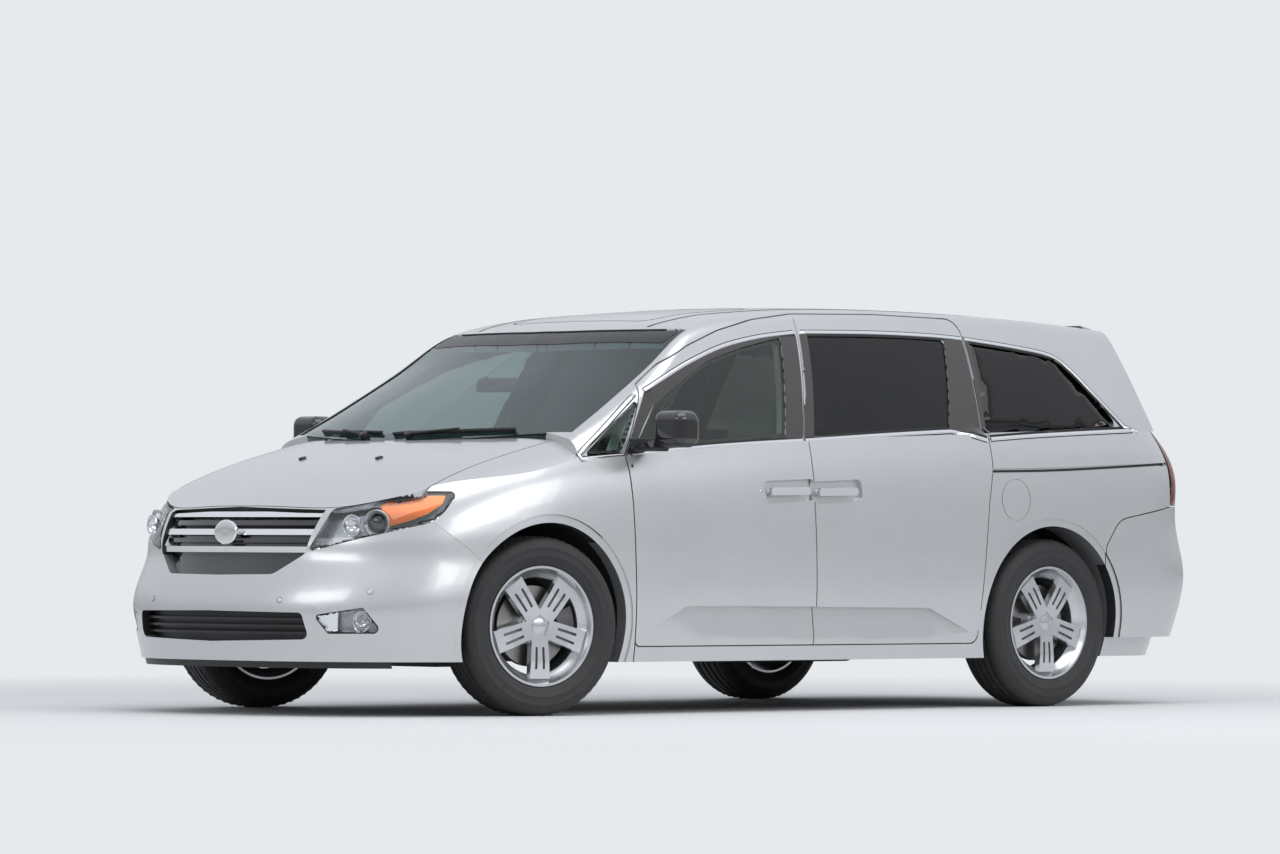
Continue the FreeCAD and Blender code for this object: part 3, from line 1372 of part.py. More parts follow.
def build():
    """Every piece of the van, by name."""
    steer = -steer_at_rest_deg
    left_door, left_glass = front_door(), side_glass(front_window, front_window_radii)
    left_slide, slide_glass = sliding_door(), side_glass(sliding_window, sliding_window_radii)
    left_side, left_fender, left_mirror = body_side(), fender(), mirror()
    fixed = [side_glass(quarter_window, quarter_window_radii), side_glass(corner_window, corner_window_radii)]
    lamp, rear_lamp, fog = headlamp(), tail_lamp_piece(), fog_lamp()
    front_grip, slide_grip = handle(handle_front["front"]), handle(handle_front["sliding"])
    pieces = {
        "underbody": underbody(),
        "floor_pan": floor_pan(),
        "body_side_left": left_side,
        "body_side_right": mirrored(left_side),
        "roof": roof(),
        "windshield": windshield(),
        "fixed_side_glass": Part.makeCompound(fixed + [mirrored(glass) for glass in fixed]),
        "fender_left": left_fender,
        "fender_right": mirrored(left_fender),
        "front_bumper": across(front_bumper_half()),
        "upper_grille": across(grille()),
        "lower_grille": across(lower_grille()),
        "headlamps": Part.makeCompound([lamp, mirrored(lamp)]),
        "tail_lamps": Part.makeCompound([rear_lamp, mirrored(rear_lamp)]),
        "rear_bumper": rear_bumper(),
        "cowl": cowl(),
        "dashboard": dashboard(),
        "front_seats": front_seats(),
        "rear_seats": rear_seats(),
        "engine": engine(),
        "fuel_tank": fuel_tank(),
        "exhaust": exhaust(),
        "front_suspension": front_suspension(),
        "rear_suspension": rear_suspension(),
        "hood": hood(),
        "front_door_left": left_door,
        "front_door_right": mirrored(left_door),
        "front_door_glass_left": left_glass,
        "front_door_glass_right": mirrored(left_glass),
        "fog_lamps": Part.makeCompound([fog, mirrored(fog)]),
        "front_handle_left": front_grip,
        "front_handle_right": mirrored(front_grip),
        "sliding_handles": Part.makeCompound([slide_grip, mirrored(slide_grip)]),
        "mirror_left": left_mirror,
        "mirror_right": mirrored(left_mirror),
        "sliding_door_left": left_slide,
        "sliding_door_right": mirrored(left_slide),
        "sliding_door_glass": Part.makeCompound([slide_glass, mirrored(slide_glass)]),
        "tailgate": tailgate(),
        "tailgate_glass": tail_glass(),
    }
    wheel = Part.makeCompound([rim(), brake_disc()])
    rubber, upright = tyre(), knuckle()
    for side, name in ((1, "left"), (-1, "right")):
        pieces["knuckle_" + name] = placed(upright, side, front_axle_x, steer)
        pieces["wheel_front_" + name] = placed(wheel, side, front_axle_x, steer)
        pieces["tyre_front_" + name] = placed(rubber, side, front_axle_x, steer)
        pieces["wheel_rear_" + name] = placed(wheel, side, rear_axle_x)
        pieces["tyre_rear_" + name] = placed(rubber, side, rear_axle_x)
    return pieces


os.makedirs("parts", exist_ok=True)
for name, shape in build().items():
    shape.exportStep(os.path.join("parts", name + ".step"))
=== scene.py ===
"""Looks of a seven-seat family minivan: paint, glass, lamps, trim, wheels and cabin.

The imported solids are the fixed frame. Body panels are dressed as merged copies of those solids, and the
trim, lamps, wheels and cabin pieces are modelled over them. All places are in metres, +X forward, +Y left.
"""

import logging
import math
from contextlib import contextmanager
from dataclasses import dataclass, field
from enum import Enum
from typing import Callable, Iterator, Optional, Sequence, Union

import bpy
from mathutils import Matrix, Vector
from mathutils.bvhtree import BVHTree


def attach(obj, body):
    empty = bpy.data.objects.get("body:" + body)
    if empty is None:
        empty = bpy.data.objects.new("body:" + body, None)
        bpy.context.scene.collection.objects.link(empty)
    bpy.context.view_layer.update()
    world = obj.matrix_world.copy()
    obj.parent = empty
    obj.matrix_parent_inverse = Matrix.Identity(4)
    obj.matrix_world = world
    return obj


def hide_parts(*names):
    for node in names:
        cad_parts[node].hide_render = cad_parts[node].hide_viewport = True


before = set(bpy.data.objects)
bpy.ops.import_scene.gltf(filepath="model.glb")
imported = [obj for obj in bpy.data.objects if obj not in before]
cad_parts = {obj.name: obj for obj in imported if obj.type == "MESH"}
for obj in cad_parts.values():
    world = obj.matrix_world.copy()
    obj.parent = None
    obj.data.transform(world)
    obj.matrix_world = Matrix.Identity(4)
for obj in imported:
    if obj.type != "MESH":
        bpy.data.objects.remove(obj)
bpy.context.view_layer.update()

LOG = logging.getLogger("minivan")
Point = tuple[float, float]
Spot = tuple[float, float, float]
Colour = Spot
Socket = Union[str, int]
Probe = Callable[[float, float], tuple[Vector, Vector]]
Thing = bpy.types.Object
Polygon = bpy.types.MeshPolygon
Tree = bpy.types.NodeTree
Node = bpy.types.Node
Chooser = Callable[[Polygon], int]

FRONT_AXLE_X = 1.581
REAR_AXLE_X = -1.419
HUB_HEIGHT = 0.366
WHEEL_Y = 0.865
KINGPIN_Y = 0.805
STEER_AT_REST = math.radians(12.0)
LEFT = Vector((0.0, 1.0, 0.0))
AHEAD = Vector((1.0, 0.0, 0.0))
UP = Vector((0.0, 0.0, 1.0))
SIDE_PROBE_Y = 1.6
END_PROBE_X = 3.2
TOP_PROBE_Z = 2.2
AXIS = 0.0001
FIXED = ("body", "body")
DOORS = ("front_door_left", "front_door_right")


# Shader groups and finishes


def put(tree: Tree, kind: str, place: Point = (0, 0), presets: Optional[dict] = None,
        **values: object) -> Node:
    """Add a node, and set its properties and the values of its inputs.

    Args:
        tree: The node tree that takes the node.
        kind: The node's type name.
        place: Where it lies in the editor.
        presets: Values of its inputs, by name or number.
        values: Its properties, by name.

    Returns:
        The new node.
    """
    node = tree.nodes.new(kind)
    node.location = place
    for name, value in values.items():
        setattr(node, name, value)
    for socket, value in (presets or {}).items():
        node.inputs[socket].default_value = value
    return node


def wire(tree: Tree, *links: tuple[Node, Socket, Node, Socket]) -> None:
    """Link nodes, each link given as a node, its output, the next node and its input."""
    for source, output, target, entry in links:
        tree.links.new(source.outputs[output], target.inputs[entry])


def new_material(name: str, colour: Colour, alpha: float = 1.0) -> tuple[bpy.types.Material, Tree, Node]:
    """A material with its viewport colour.

    Args:
        name: Its name.
        colour: Its colour.
        alpha: How solid it shows in the viewport.

    Returns:
        The material, its tree and its shader.
    """
    material = bpy.data.materials.new(name)
    material.use_nodes = True
    material.diffuse_color = (*colour, alpha)
    return material, material.node_tree, material.node_tree.nodes["Principled BSDF"]


class Effects:
    """Shader groups that several finishes share, each built once."""

    def __init__(self) -> None:
        """Start with no group."""
        self.kept: dict[str, Tree] = {}

    def group(self, name: str, inputs: dict[str, float], output: str,
              fill: Callable[[Tree, Node, Node], None]) -> Tree:
        """Build a group once.

        Args:
            name: The group's name.
            inputs: Its inputs, each with a starting value.
            output: Its output.
            fill: What puts the nodes between its ends.

        Returns:
            The group's tree.
        """
        if name not in self.kept:
            tree = bpy.data.node_groups.new(name, "ShaderNodeTree")
            for label, value in inputs.items():
                socket = tree.interface.new_socket(label, in_out="INPUT", socket_type="NodeSocketFloat")
                socket.default_value = value
            tree.interface.new_socket(output, in_out="OUTPUT", socket_type="NodeSocketFloat")
            fill(tree, put(tree, "NodeGroupInput", (-900, 0)), put(tree, "NodeGroupOutput", (600, 0)))
            self.kept[name] = tree
        return self.kept[name]

    def grain(self) -> Tree:
        """Moulded grain: a fine cell pattern over soft noise, for heights.

        Returns:
            The node group.
        """
        def fill(tree: Tree, start: Node, end: Node) -> None:
            """Join the grain's nodes.

            Args:
                tree: The group's tree.
                start: Its input node.
                end: Its output node.
            """
            where = put(tree, "ShaderNodeTexCoord", (-900, 300))
            cells = put(tree, "ShaderNodeTexVoronoi", (-500, 200), feature="SMOOTH_F1")
            noise = put(tree, "ShaderNodeTexNoise", (-500, -200), {"Detail": 4.0})
            total = put(tree, "ShaderNodeMath", (0, 0), {1: 0.6}, operation="MULTIPLY_ADD")
            for texture in (cells, noise):
                wire(tree, (where, "Object", texture, "Vector"), (start, "Scale", texture, "Scale"))
            wire(tree, (cells, "Distance", total, 0), (noise, "Fac", total, 2), (total, 0, end, "Height"))
        return self.group("moulded grain", {"Scale": 900.0}, "Height", fill)

    def blotch(self) -> Tree:
        """Broad uneven patches between a low and a high value.

        Returns:
            The node group.
        """
        def fill(tree: Tree, start: Node, end: Node) -> None:
            """Join the patches' nodes.

            Args:
                tree: The group's tree.
                start: Its input node.
                end: Its output node.
            """
            where = put(tree, "ShaderNodeTexCoord", (-900, 300))
            noise = put(tree, "ShaderNodeTexNoise", (-500, 0), {"Detail": 6.0, "Roughness": 0.6})
            spread = put(tree, "ShaderNodeMapRange", (0, 0), {"From Min": 0.3, "From Max": 0.7})
            wire(tree, (where, "Object", noise, "Vector"), (start, "Scale", noise, "Scale"),
                 (noise, "Fac", spread, "Value"), (start, "Low", spread, "To Min"),
                 (start, "High", spread, "To Max"), (spread, "Result", end, "Value"))
        return self.group("blotches", {"Scale": 6.0, "Low": 0.9, "High": 1.0}, "Value", fill)

    def dust(self) -> Tree:
        """Road dust: a mask that is full near the ground and fades with height, broken up by noise.

        Returns:
            The node group.
        """
        def fill(tree: Tree, start: Node, end: Node) -> None:
            """Join the dust's nodes.

            Args:
                tree: The group's tree.
                start: Its input node.
                end: Its output node.
            """
            where = put(tree, "ShaderNodeTexCoord", (-900, 300))
            axes = put(tree, "ShaderNodeSeparateXYZ", (-700, 300))
            fade = put(tree, "ShaderNodeMapRange", (-400, 200),
                       {"From Min": 0.0, "To Min": 1.0, "To Max": 0.0})
            noise = put(tree, "ShaderNodeTexNoise", (-400, -200), {"Scale": 26.0, "Detail": 8.0})
            product = put(tree, "ShaderNodeMath", (0, 0), operation="MULTIPLY")
            share = put(tree, "ShaderNodeMath", (200, 0), operation="MULTIPLY", use_clamp=True)
            wire(tree, (where, "Object", axes, 0), (where, "Object", noise, "Vector"),
                 (axes, "Z", fade, "Value"), (start, "Top", fade, "From Max"), (fade, "Result", product, 0),
                 (noise, "Fac", product, 1), (product, 0, share, 0), (start, "Amount", share, 1),
                 (share, 0, end, "Mask"))
        return self.group("road dust", {"Top": 0.8, "Amount": 0.5}, "Mask", fill)


EFFECTS = Effects()


def patches(tree: Tree, height: float, scale: float, low: float, high: Optional[float] = None) -> Node:
    """The group of broad patches, set for one finish.

    Args:
        tree: The material's tree.
        height: Where it lies in the editor.
        scale: How fine the patches are.
        low: The value of the dark ones.
        high: The value of the light ones, or None for the group's own.

    Returns:
        The group's node.
    """
    presets = {"Scale": scale, "Low": low}
    if high is not None:
        presets["High"] = high
    return put(tree, "ShaderNodeGroup", (-900, height), presets, node_tree=EFFECTS.blotch())


def tinted(tree: Tree, colour: Colour, source: Node) -> Node:
    """A colour multiplied by the value of a group.

    Args:
        tree: The material's tree.
        colour: The colour.
        source: The group's node.

    Returns:
        The mixing node.
    """
    mix = put(tree, "ShaderNodeMix", (-600, 200), data_type="RGBA", blend_type="MULTIPLY")
    mix.inputs["Factor"].default_value = 1.0
    mix.inputs["A"].default_value = (*colour, 1.0)
    wire(tree, (source, "Value", mix, "B"))
    return mix


@dataclass(frozen=True)
class Finish:
    """An opaque finish: one shader with grain, patches and road dust where it has them."""

    name: str
    colour: Colour
    metallic: float = 0.0
    roughness: float = 0.5
    coat: float = 0.0
    coat_roughness: float = 0.04
    grain_scale: float = 0.0
    grain_depth: float = 0.0
    patch_scale: float = 5.0
    patch_low: float = 0.94
    dust_top: float = 0.0
    dust_amount: float = 0.0
    dust_colour: Colour = (0.22, 0.19, 0.16)
    rough_spread: float = 0.08
    sheen: float = 0.0

    def build(self) -> bpy.types.Material:
        """Make the material.

        Returns:
            The new material.
        """
        material, tree, shader = new_material(self.name, self.colour)
        for socket, value in (("Metallic", self.metallic), ("Roughness", self.roughness),
                              ("Coat Weight", self.coat), ("Coat Roughness", self.coat_roughness),
                              ("Sheen Weight", self.sheen)):
            shader.inputs[socket].default_value = value
        self.tint(tree, shader)
        rough = patches(tree, -300, self.patch_scale * 3.0, self.roughness * (1 - self.rough_spread),
                        self.roughness * (1 + self.rough_spread))
        wire(tree, (rough, "Value", shader, "Roughness"))
        if self.grain_scale:
            grain = put(tree, "ShaderNodeGroup", (-900, -600), node_tree=EFFECTS.grain())
            grain.inputs["Scale"].default_value = self.grain_scale
            bump = put(tree, "ShaderNodeBump", (-300, -500), {"Distance": self.grain_depth, "Strength": 1.0})
            wire(tree, (grain, "Height", bump, "Height"), (bump, "Normal", shader, "Normal"))
        return material

    def tint(self, tree: Tree, shader: Node) -> None:
        """Colour with soft patches, and dust over it.

        Args:
            tree: The material's tree.
            shader: Its shader.
        """
        last = tinted(tree, self.colour, patches(tree, 200, self.patch_scale, self.patch_low, 1.0))
        if self.dust_amount:
            shade = last
            dust = put(tree, "ShaderNodeGroup", (-600, -100), node_tree=EFFECTS.dust())
            dust.inputs["Top"].default_value = self.dust_top
            dust.inputs["Amount"].default_value = self.dust_amount
            last = put(tree, "ShaderNodeMix", (-300, 200), data_type="RGBA")
            last.inputs["B"].default_value = (*self.dust_colour, 1.0)
            wire(tree, (dust, "Mask", last, "Factor"), (shade, "Result", last, "A"))
        wire(tree, (last, "Result", shader, "Base Color"))


@dataclass(frozen=True)
class GlassFinish:
    """Clear or tinted glass, whose tint wavers a little, and which lets light pass into what it covers."""

    name: str
    colour: Colour
    roughness: float = 0.0
    shade: float = 1.0
    ripple: float = 0.0

    def build(self) -> bpy.types.Material:
        """Make the material.

        Returns:
            The new material.
        """
        material, tree, shader = new_material(self.name, self.colour, 0.4)
        for socket, value in (("Roughness", self.roughness), ("Transmission Weight", 1.0), ("IOR", 1.46)):
            shader.inputs[socket].default_value = value
        wire(tree, (tinted(tree, self.colour, patches(tree, 200, 3.0, 0.97)), "Result", shader, "Base Color"))
        if self.ripple:
            where = put(tree, "ShaderNodeTexCoord", (-900, -400))
            waves = put(tree, "ShaderNodeTexWave", (-600, -400), {"Scale": 60.0}, bands_direction="Y")
            bump = put(tree, "ShaderNodeBump", (-300, -400), {"Distance": self.ripple})
            wire(tree, (where, "Object", waves, "Vector"), (waves, "Fac", bump, "Height"),
                 (bump, "Normal", shader, "Normal"))
        through = (*(c * self.shade for c in self.colour), 1.0)
        clear = put(tree, "ShaderNodeBsdfTransparent", (100, -200), {"Color": through})
        path = put(tree, "ShaderNodeLightPath", (100, 300))
        mix = put(tree, "ShaderNodeMixShader", (400, 0))
        wire(tree, (path, "Is Shadow Ray", mix, "Fac"), (shader, "BSDF", mix, 1), (clear, "BSDF", mix, 2),
             (mix, "Shader", tree.nodes["Material Output"], "Surface"))
        return material


class Look(Enum):
    """The finishes of the van."""

    PAINT = Finish("silver metallic paint", (0.60, 0.61, 0.62), 0.72, 0.30, 1.0, 0.03, 2600.0, 0.00002,
                   3.0, 0.975)
    CHROME = Finish("bright chrome", (0.93, 0.94, 0.95), 1.0, 0.12, patch_low=0.97)
    SATIN_CHROME = Finish("satin chrome", (0.62, 0.63, 0.65), 1.0, 0.22, patch_low=0.96)
    BLACK_TRIM = Finish("moulded black trim", (0.016, 0.016, 0.017), 0.0, 0.42, grain_scale=1500.0,
                        grain_depth=0.00006, patch_low=0.85)
    GLOSS_BLACK = Finish("gloss black", (0.010, 0.010, 0.011), 0.0, 0.12, 1.0, 0.02, patch_low=0.9)
    PILLAR_FILM = Finish("dark pillar film", (0.030, 0.026, 0.024), 0.0, 0.2, 0.8, 0.05, patch_low=0.9)
    # Near-black of the windshield's top band: black frit, and painted shade under the roof's edge.
    LAMP_BLACK = Finish("windshield frit and painted shade", (0.012, 0.012, 0.013), 0.0, 0.3, patch_low=0.9)
    SEAL = Finish("rubber seal", (0.010, 0.010, 0.010), 0.0, 0.65, patch_low=0.8)
    TYRE = Finish("tyre rubber", (0.020, 0.020, 0.021), 0.0, 0.62, grain_scale=700.0, grain_depth=0.00015,
                  patch_scale=9.0, patch_low=0.75, dust_top=0.75, dust_amount=0.22,
                  dust_colour=(0.10, 0.092, 0.085))
    ALLOY = Finish("machined alloy", (0.66, 0.67, 0.69), 0.9, 0.24, 0.6, 0.06, patch_low=0.95)
    ALLOY_DARK = Finish("alloy in the slots", (0.20, 0.20, 0.21), 0.9, 0.45, patch_low=0.85)
    IRON = Finish("turned iron", (0.36, 0.35, 0.34), 0.95, 0.34, grain_scale=500.0, grain_depth=0.00005,
                  patch_scale=14.0, patch_low=0.8)
    CASTING = Finish("cast iron", (0.16, 0.16, 0.165), 0.7, 0.55, grain_scale=420.0, grain_depth=0.0003,
                     patch_scale=18.0, patch_low=0.7)
    NUT = Finish("plated nuts", (0.55, 0.55, 0.56), 1.0, 0.2, patch_low=0.9)
    UNDERSIDE = Finish("black underbody coat", (0.018, 0.018, 0.019), 0.0, 0.7, grain_scale=160.0,
                       grain_depth=0.0008, patch_scale=8.0, patch_low=0.7, dust_top=0.5, dust_amount=0.35)
    STEEL = Finish("painted chassis steel", (0.035, 0.036, 0.038), 0.4, 0.5, grain_scale=350.0,
                   grain_depth=0.0002, patch_scale=12.0, patch_low=0.7, dust_top=0.5, dust_amount=0.4)
    EXHAUST = Finish("exhaust steel", (0.17, 0.16, 0.15), 0.9, 0.42, grain_scale=200.0, grain_depth=0.0002,
                     patch_scale=10.0, patch_low=0.55)
    ENGINE = Finish("engine casting", (0.30, 0.30, 0.30), 0.8, 0.5, grain_scale=260.0, grain_depth=0.0004,
                    patch_scale=9.0, patch_low=0.7)
    TANK = Finish("black tank plastic", (0.020, 0.020, 0.021), 0.0, 0.55, grain_scale=240.0,
                  grain_depth=0.0005, patch_low=0.8)
    REFLECTOR = Finish("lamp reflector", (0.80, 0.81, 0.83), 1.0, 0.10, patch_low=0.96)
    LAMP_GREY = Finish("lamp bezel", (0.36, 0.37, 0.385), 0.7, 0.28, patch_low=0.95)
    DASH = Finish("dashboard skin", (0.055, 0.052, 0.050), 0.0, 0.6, grain_scale=1100.0, grain_depth=0.00012,
                  patch_low=0.88)
    TRIM_GREY = Finish("cabin trim", (0.33, 0.31, 0.28), 0.0, 0.6, grain_scale=900.0, grain_depth=0.00012,
                       patch_low=0.92)
    LEATHER = Finish("seat leather", (0.36, 0.33, 0.29), 0.0, 0.48, grain_scale=420.0, grain_depth=0.00035,
                     patch_scale=7.0, patch_low=0.86, sheen=0.15)
    CARPET = Finish("cabin carpet", (0.10, 0.095, 0.09), 0.0, 0.95, grain_scale=700.0, grain_depth=0.0012,
                    patch_low=0.75, sheen=0.3)
    WINDSHIELD = GlassFinish("windshield glass", (0.42, 0.57, 0.58), shade=0.9)
    FRONT_GLASS = GlassFinish("door glass", (0.66, 0.76, 0.70), shade=0.9)
    PRIVACY = GlassFinish("privacy glass", (0.085, 0.075, 0.07), shade=0.9)
    LENS = GlassFinish("clear lens", (0.95, 0.96, 0.97))
    AMBER = GlassFinish("amber lens", (0.98, 0.42, 0.03), 0.04, ripple=0.0006)
    RED = GlassFinish("red lens", (0.88, 0.030, 0.020), 0.03, ripple=0.0004)

    @property
    def material(self) -> bpy.types.Material:
        """The finish's material, made when it is first used."""
        found = bpy.data.materials.get(self.value.name)
        return found or self.value.build()


# Modelling helpers


def clear_selection() -> None:
    """Leave edit mode and deselect everything."""
    if bpy.context.object is not None and bpy.context.object.mode != "OBJECT":
        bpy.ops.object.mode_set(mode="OBJECT")
    bpy.ops.object.select_all(action="DESELECT")


def activate(piece: Thing) -> Thing:
    """Select one object alone and make it active.

    Args:
        piece: The object.

    Returns:
        The same object.
    """
    clear_selection()
    piece.select_set(True)
    bpy.context.view_layer.objects.active = piece
    return piece


@contextmanager
def editing(piece: Thing) -> Iterator[None]:
    """Edit one object, with its whole mesh selected, for the length of a with block.

    Args:
        piece: The object.

    Yields:
        Nothing.
    """
    activate(piece)
    bpy.ops.object.mode_set(mode="EDIT")
    bpy.ops.mesh.select_all(action="SELECT")
    yield
    bpy.ops.object.mode_set(mode="OBJECT")


def apply_modifiers(piece: Thing) -> Thing:
    """Apply every modifier of an object, in order.

    Args:
        piece: The object.

    Returns:
        The same object.
    """
    activate(piece)
    for name in [modifier.name for modifier in piece.modifiers]:
        bpy.ops.object.modifier_apply(modifier=name)
    return piece


def settle(piece: Thing) -> Thing:
    """Move an object's place, turn and scale into its mesh.

    Args:
        piece: The object.

    Returns:
        The same object.
    """
    activate(piece)
    bpy.ops.object.transform_apply(location=True, rotation=True, scale=True)
    return piece


def outward(piece: Thing) -> Thing:
    """Merge doubled points and turn every face outwards.

    Args:
        piece: The object.

    Returns:
        The same object.
    """
    with editing(piece):
        bpy.ops.mesh.remove_doubles(threshold=0.00002)
        bpy.ops.mesh.normals_make_consistent(inside=False)
    return piece


def smooth(piece: Thing, degrees: float = 32.0) -> Thing:
    """Shade smooth, with edges sharper than an angle kept.

    Args:
        piece: The object.
        degrees: The angle.

    Returns:
        The same object.
    """
    activate(piece)
    bpy.ops.object.shade_smooth_by_angle(angle=math.radians(degrees))
    return piece


def bevel(piece: Thing, width: float, segments: int = 2, degrees: float = 35.0) -> Thing:
    """Round the sharp edges of a piece.

    Args:
        piece: The object.
        width: The width of the rounding.
        segments: How many faces it has across.
        degrees: Edges sharper than this are rounded.

    Returns:
        The same object.
    """
    modifier = piece.modifiers.new("rounding", "BEVEL")
    modifier.width = width
    modifier.segments = segments
    modifier.limit_method = "ANGLE"
    modifier.angle_limit = math.radians(degrees)
    return apply_modifiers(piece)


def thicken(piece: Thing, thickness: float, offset: float = 1.0,
            even: bool = True) -> Thing:
    """Give a sheet its thickness.

    Args:
        piece: The object.
        thickness: The thickness.
        offset: 1 grows outwards, -1 inwards.
        even: Whether sharp folds keep the full thickness.

    Returns:
        The same object.
    """
    modifier = piece.modifiers.new("wall", "SOLIDIFY")
    modifier.thickness = thickness
    modifier.offset = offset
    modifier.use_even_offset = even
    return apply_modifiers(piece)


def twin(piece: Thing, name: str) -> Thing:
    """A copy with its own mesh.

    Args:
        piece: The object.
        name: The copy's name.

    Returns:
        The copy.
    """
    copy = piece.copy()
    copy.data = piece.data.copy()
    copy.name = name
    copy.parent = None
    for key in list(copy.keys()):
        if key.startswith("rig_"):
            del copy[key]
    bpy.context.scene.collection.objects.link(copy)
    return copy


def other_side(piece: Thing, name: str) -> Thing:
    """A copy on the other side of the middle plane.

    Args:
        piece: The object.
        name: The copy's name.

    Returns:
        The copy.
    """
    copy = twin(piece, name)
    copy.matrix_world = Matrix.Diagonal((1.0, -1.0, 1.0, 1.0))
    settle(copy)
    with editing(copy):
        bpy.ops.mesh.normals_make_consistent(inside=False)
    return copy


def joined(pieces: Sequence[Thing], name: str) -> Thing:
    """Several objects as one.

    Args:
        pieces: The objects.
        name: The name of the whole.

    Returns:
        The joined object.
    """
    clear_selection()
    for piece in pieces:
        piece.select_set(True)
    bpy.context.view_layer.objects.active = pieces[0]
    if len(pieces) > 1:
        bpy.ops.object.join()
    whole = bpy.context.object
    whole.name = name
    return whole


def dress(piece: Thing, look: Look) -> Thing:
    """Give a piece one finish all over.

    Args:
        piece: The object.
        look: The finish.

    Returns:
        The same object.
    """
    piece.data.materials.clear()
    piece.data.materials.append(look.material)
    return piece


def place(piece: Thing, name: str, body: str, look: Optional[Look] = None,
          slot: Optional[str] = None, nodes: Sequence[str] = ()) -> Thing:
    """Name a finished piece, dress it, and let it ride on its body.

    Args:
        piece: The object.
        name: Its name.
        body: The body that carries it.
        look: Its finish, where it has one all over.
        slot: The record's material slot; not used.
        nodes: The solids that it stands for.

    Returns:
        The same object.
    """
    settle(piece)
    piece.name = name
    piece.data.name = name
    if look is not None:
        dress(piece, look)
    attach(piece, body)
    if nodes:
        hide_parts(*nodes)
    LOG.info("%s: %d faces", name, len(piece.data.polygons))
    return piece


def merged_copy(node: str, name: str) -> Thing:
    """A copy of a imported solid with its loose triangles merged.

    Args:
        node: The solid's name.
        name: The copy's name.

    Returns:
        The copy.
    """
    copy = twin(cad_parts[node], name)
    copy.hide_render = False
    copy.hide_viewport = False
    copy.data.materials.clear()
    activate(copy)
    if copy.data.has_custom_normals:
        bpy.ops.mesh.customdata_custom_splitnormals_clear()
    with editing(copy):
        bpy.ops.mesh.remove_doubles(threshold=0.00003)
    return copy


def cleaned(node: str, name: str, body: str, slot: str, degrees: float, look: Optional[Look] = None,
            even: bool = False) -> Thing:
    """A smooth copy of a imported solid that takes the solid's place.

    Args:
        node: The solid's name.
        name: The copy's name.
        body: The body that carries it.
        slot: The record's material slot.
        degrees: Edges sharper than this stay sharp.
        look: Its finish, where it has one all over.
        even: Whether broad faces set the shading.

    Returns:
        The copy.
    """
    copy = smooth(merged_copy(node, name), degrees)
    if even:
        even_shading(copy)
    return place(copy, name, body, look, slot, [node])


def block(centre: Sequence[float], size: Sequence[float], rounding: float = 0.0,
          segments: int = 3) -> Thing:
    """A block with rounded edges.

    Args:
        centre: Its middle.
        size: Its size along X, Y and Z.
        rounding: The width of the rounding.
        segments: How many faces the rounding has.

    Returns:
        The new object.
    """
    clear_selection()
    bpy.ops.mesh.primitive_cube_add(size=1.0, location=centre)
    piece = bpy.context.object
    piece.scale = size
    settle(piece)
    if rounding:
        bevel(piece, rounding, segments)
    return piece


def rod(start: Vector, end: Vector, radius: float, sides: int = 24, tip: Optional[float] = None) -> Thing:
    """A round bar between two points.

    Args:
        start: One end.
        end: The other end.
        radius: Its radius at the start.
        sides: How many faces it has round.
        tip: Its radius at the end, where that differs.

    Returns:
        The new object.
    """
    start, end = Vector(start), Vector(end)
    clear_selection()
    bpy.ops.mesh.primitive_cone_add(vertices=sides, radius1=radius, radius2=radius if tip is None else tip,
                                    depth=(end - start).length, location=(start + end) / 2)
    piece = bpy.context.object
    piece.rotation_mode = "QUATERNION"
    piece.rotation_quaternion = (end - start).to_track_quat("Z", "Y")
    return settle(piece)


def turned(profile: Sequence[Point], steps: int) -> Thing:
    """A ring about the Y axis, turned from a closed profile of (radius, y) points.

    Args:
        profile: The profile's corners, in order.
        steps: How many faces the ring has round.

    Returns:
        The new object.
    """
    clear_selection()
    bpy.ops.mesh.primitive_circle_add(vertices=len(profile), radius=0.1)
    piece = bpy.context.object
    for vertex, (radius, y) in zip(piece.data.vertices, profile):
        vertex.co = (radius, y, 0.0)
    with editing(piece):
        bpy.ops.mesh.spin(steps=steps, angle=math.tau, center=(0, 0, 0), axis=(0, 1, 0), use_auto_merge=True)
    return outward(piece)


def slab_of(outline: Sequence[Point], low: float, high: float, axis: str = "Y") -> Thing:
    """A flat plate with an outline, square to an axis.

    Args:
        outline: The outline's corners: (x, z) square to Y, (y, z) square to X, (x, y) square to Z.
        low: Where it starts along the axis.
        high: Where it ends.
        axis: The axis.

    Returns:
        The new object.
    """
    clear_selection()
    bpy.ops.mesh.primitive_circle_add(vertices=len(outline), radius=0.1, fill_type="NGON")
    piece = bpy.context.object
    for vertex, (a, b) in zip(piece.data.vertices, outline):
        vertex.co = {"X": (low, a, b), "Y": (a, low, b), "Z": (a, b, low)}[axis]
    reach = {"X": AHEAD, "Y": LEFT, "Z": UP}[axis] * (high - low)
    with editing(piece):
        bpy.ops.mesh.extrude_region_move(TRANSFORM_OT_translate={"value": tuple(reach)})
        bpy.ops.mesh.select_all(action="SELECT")
        bpy.ops.mesh.normals_make_consistent(inside=False)
    return piece


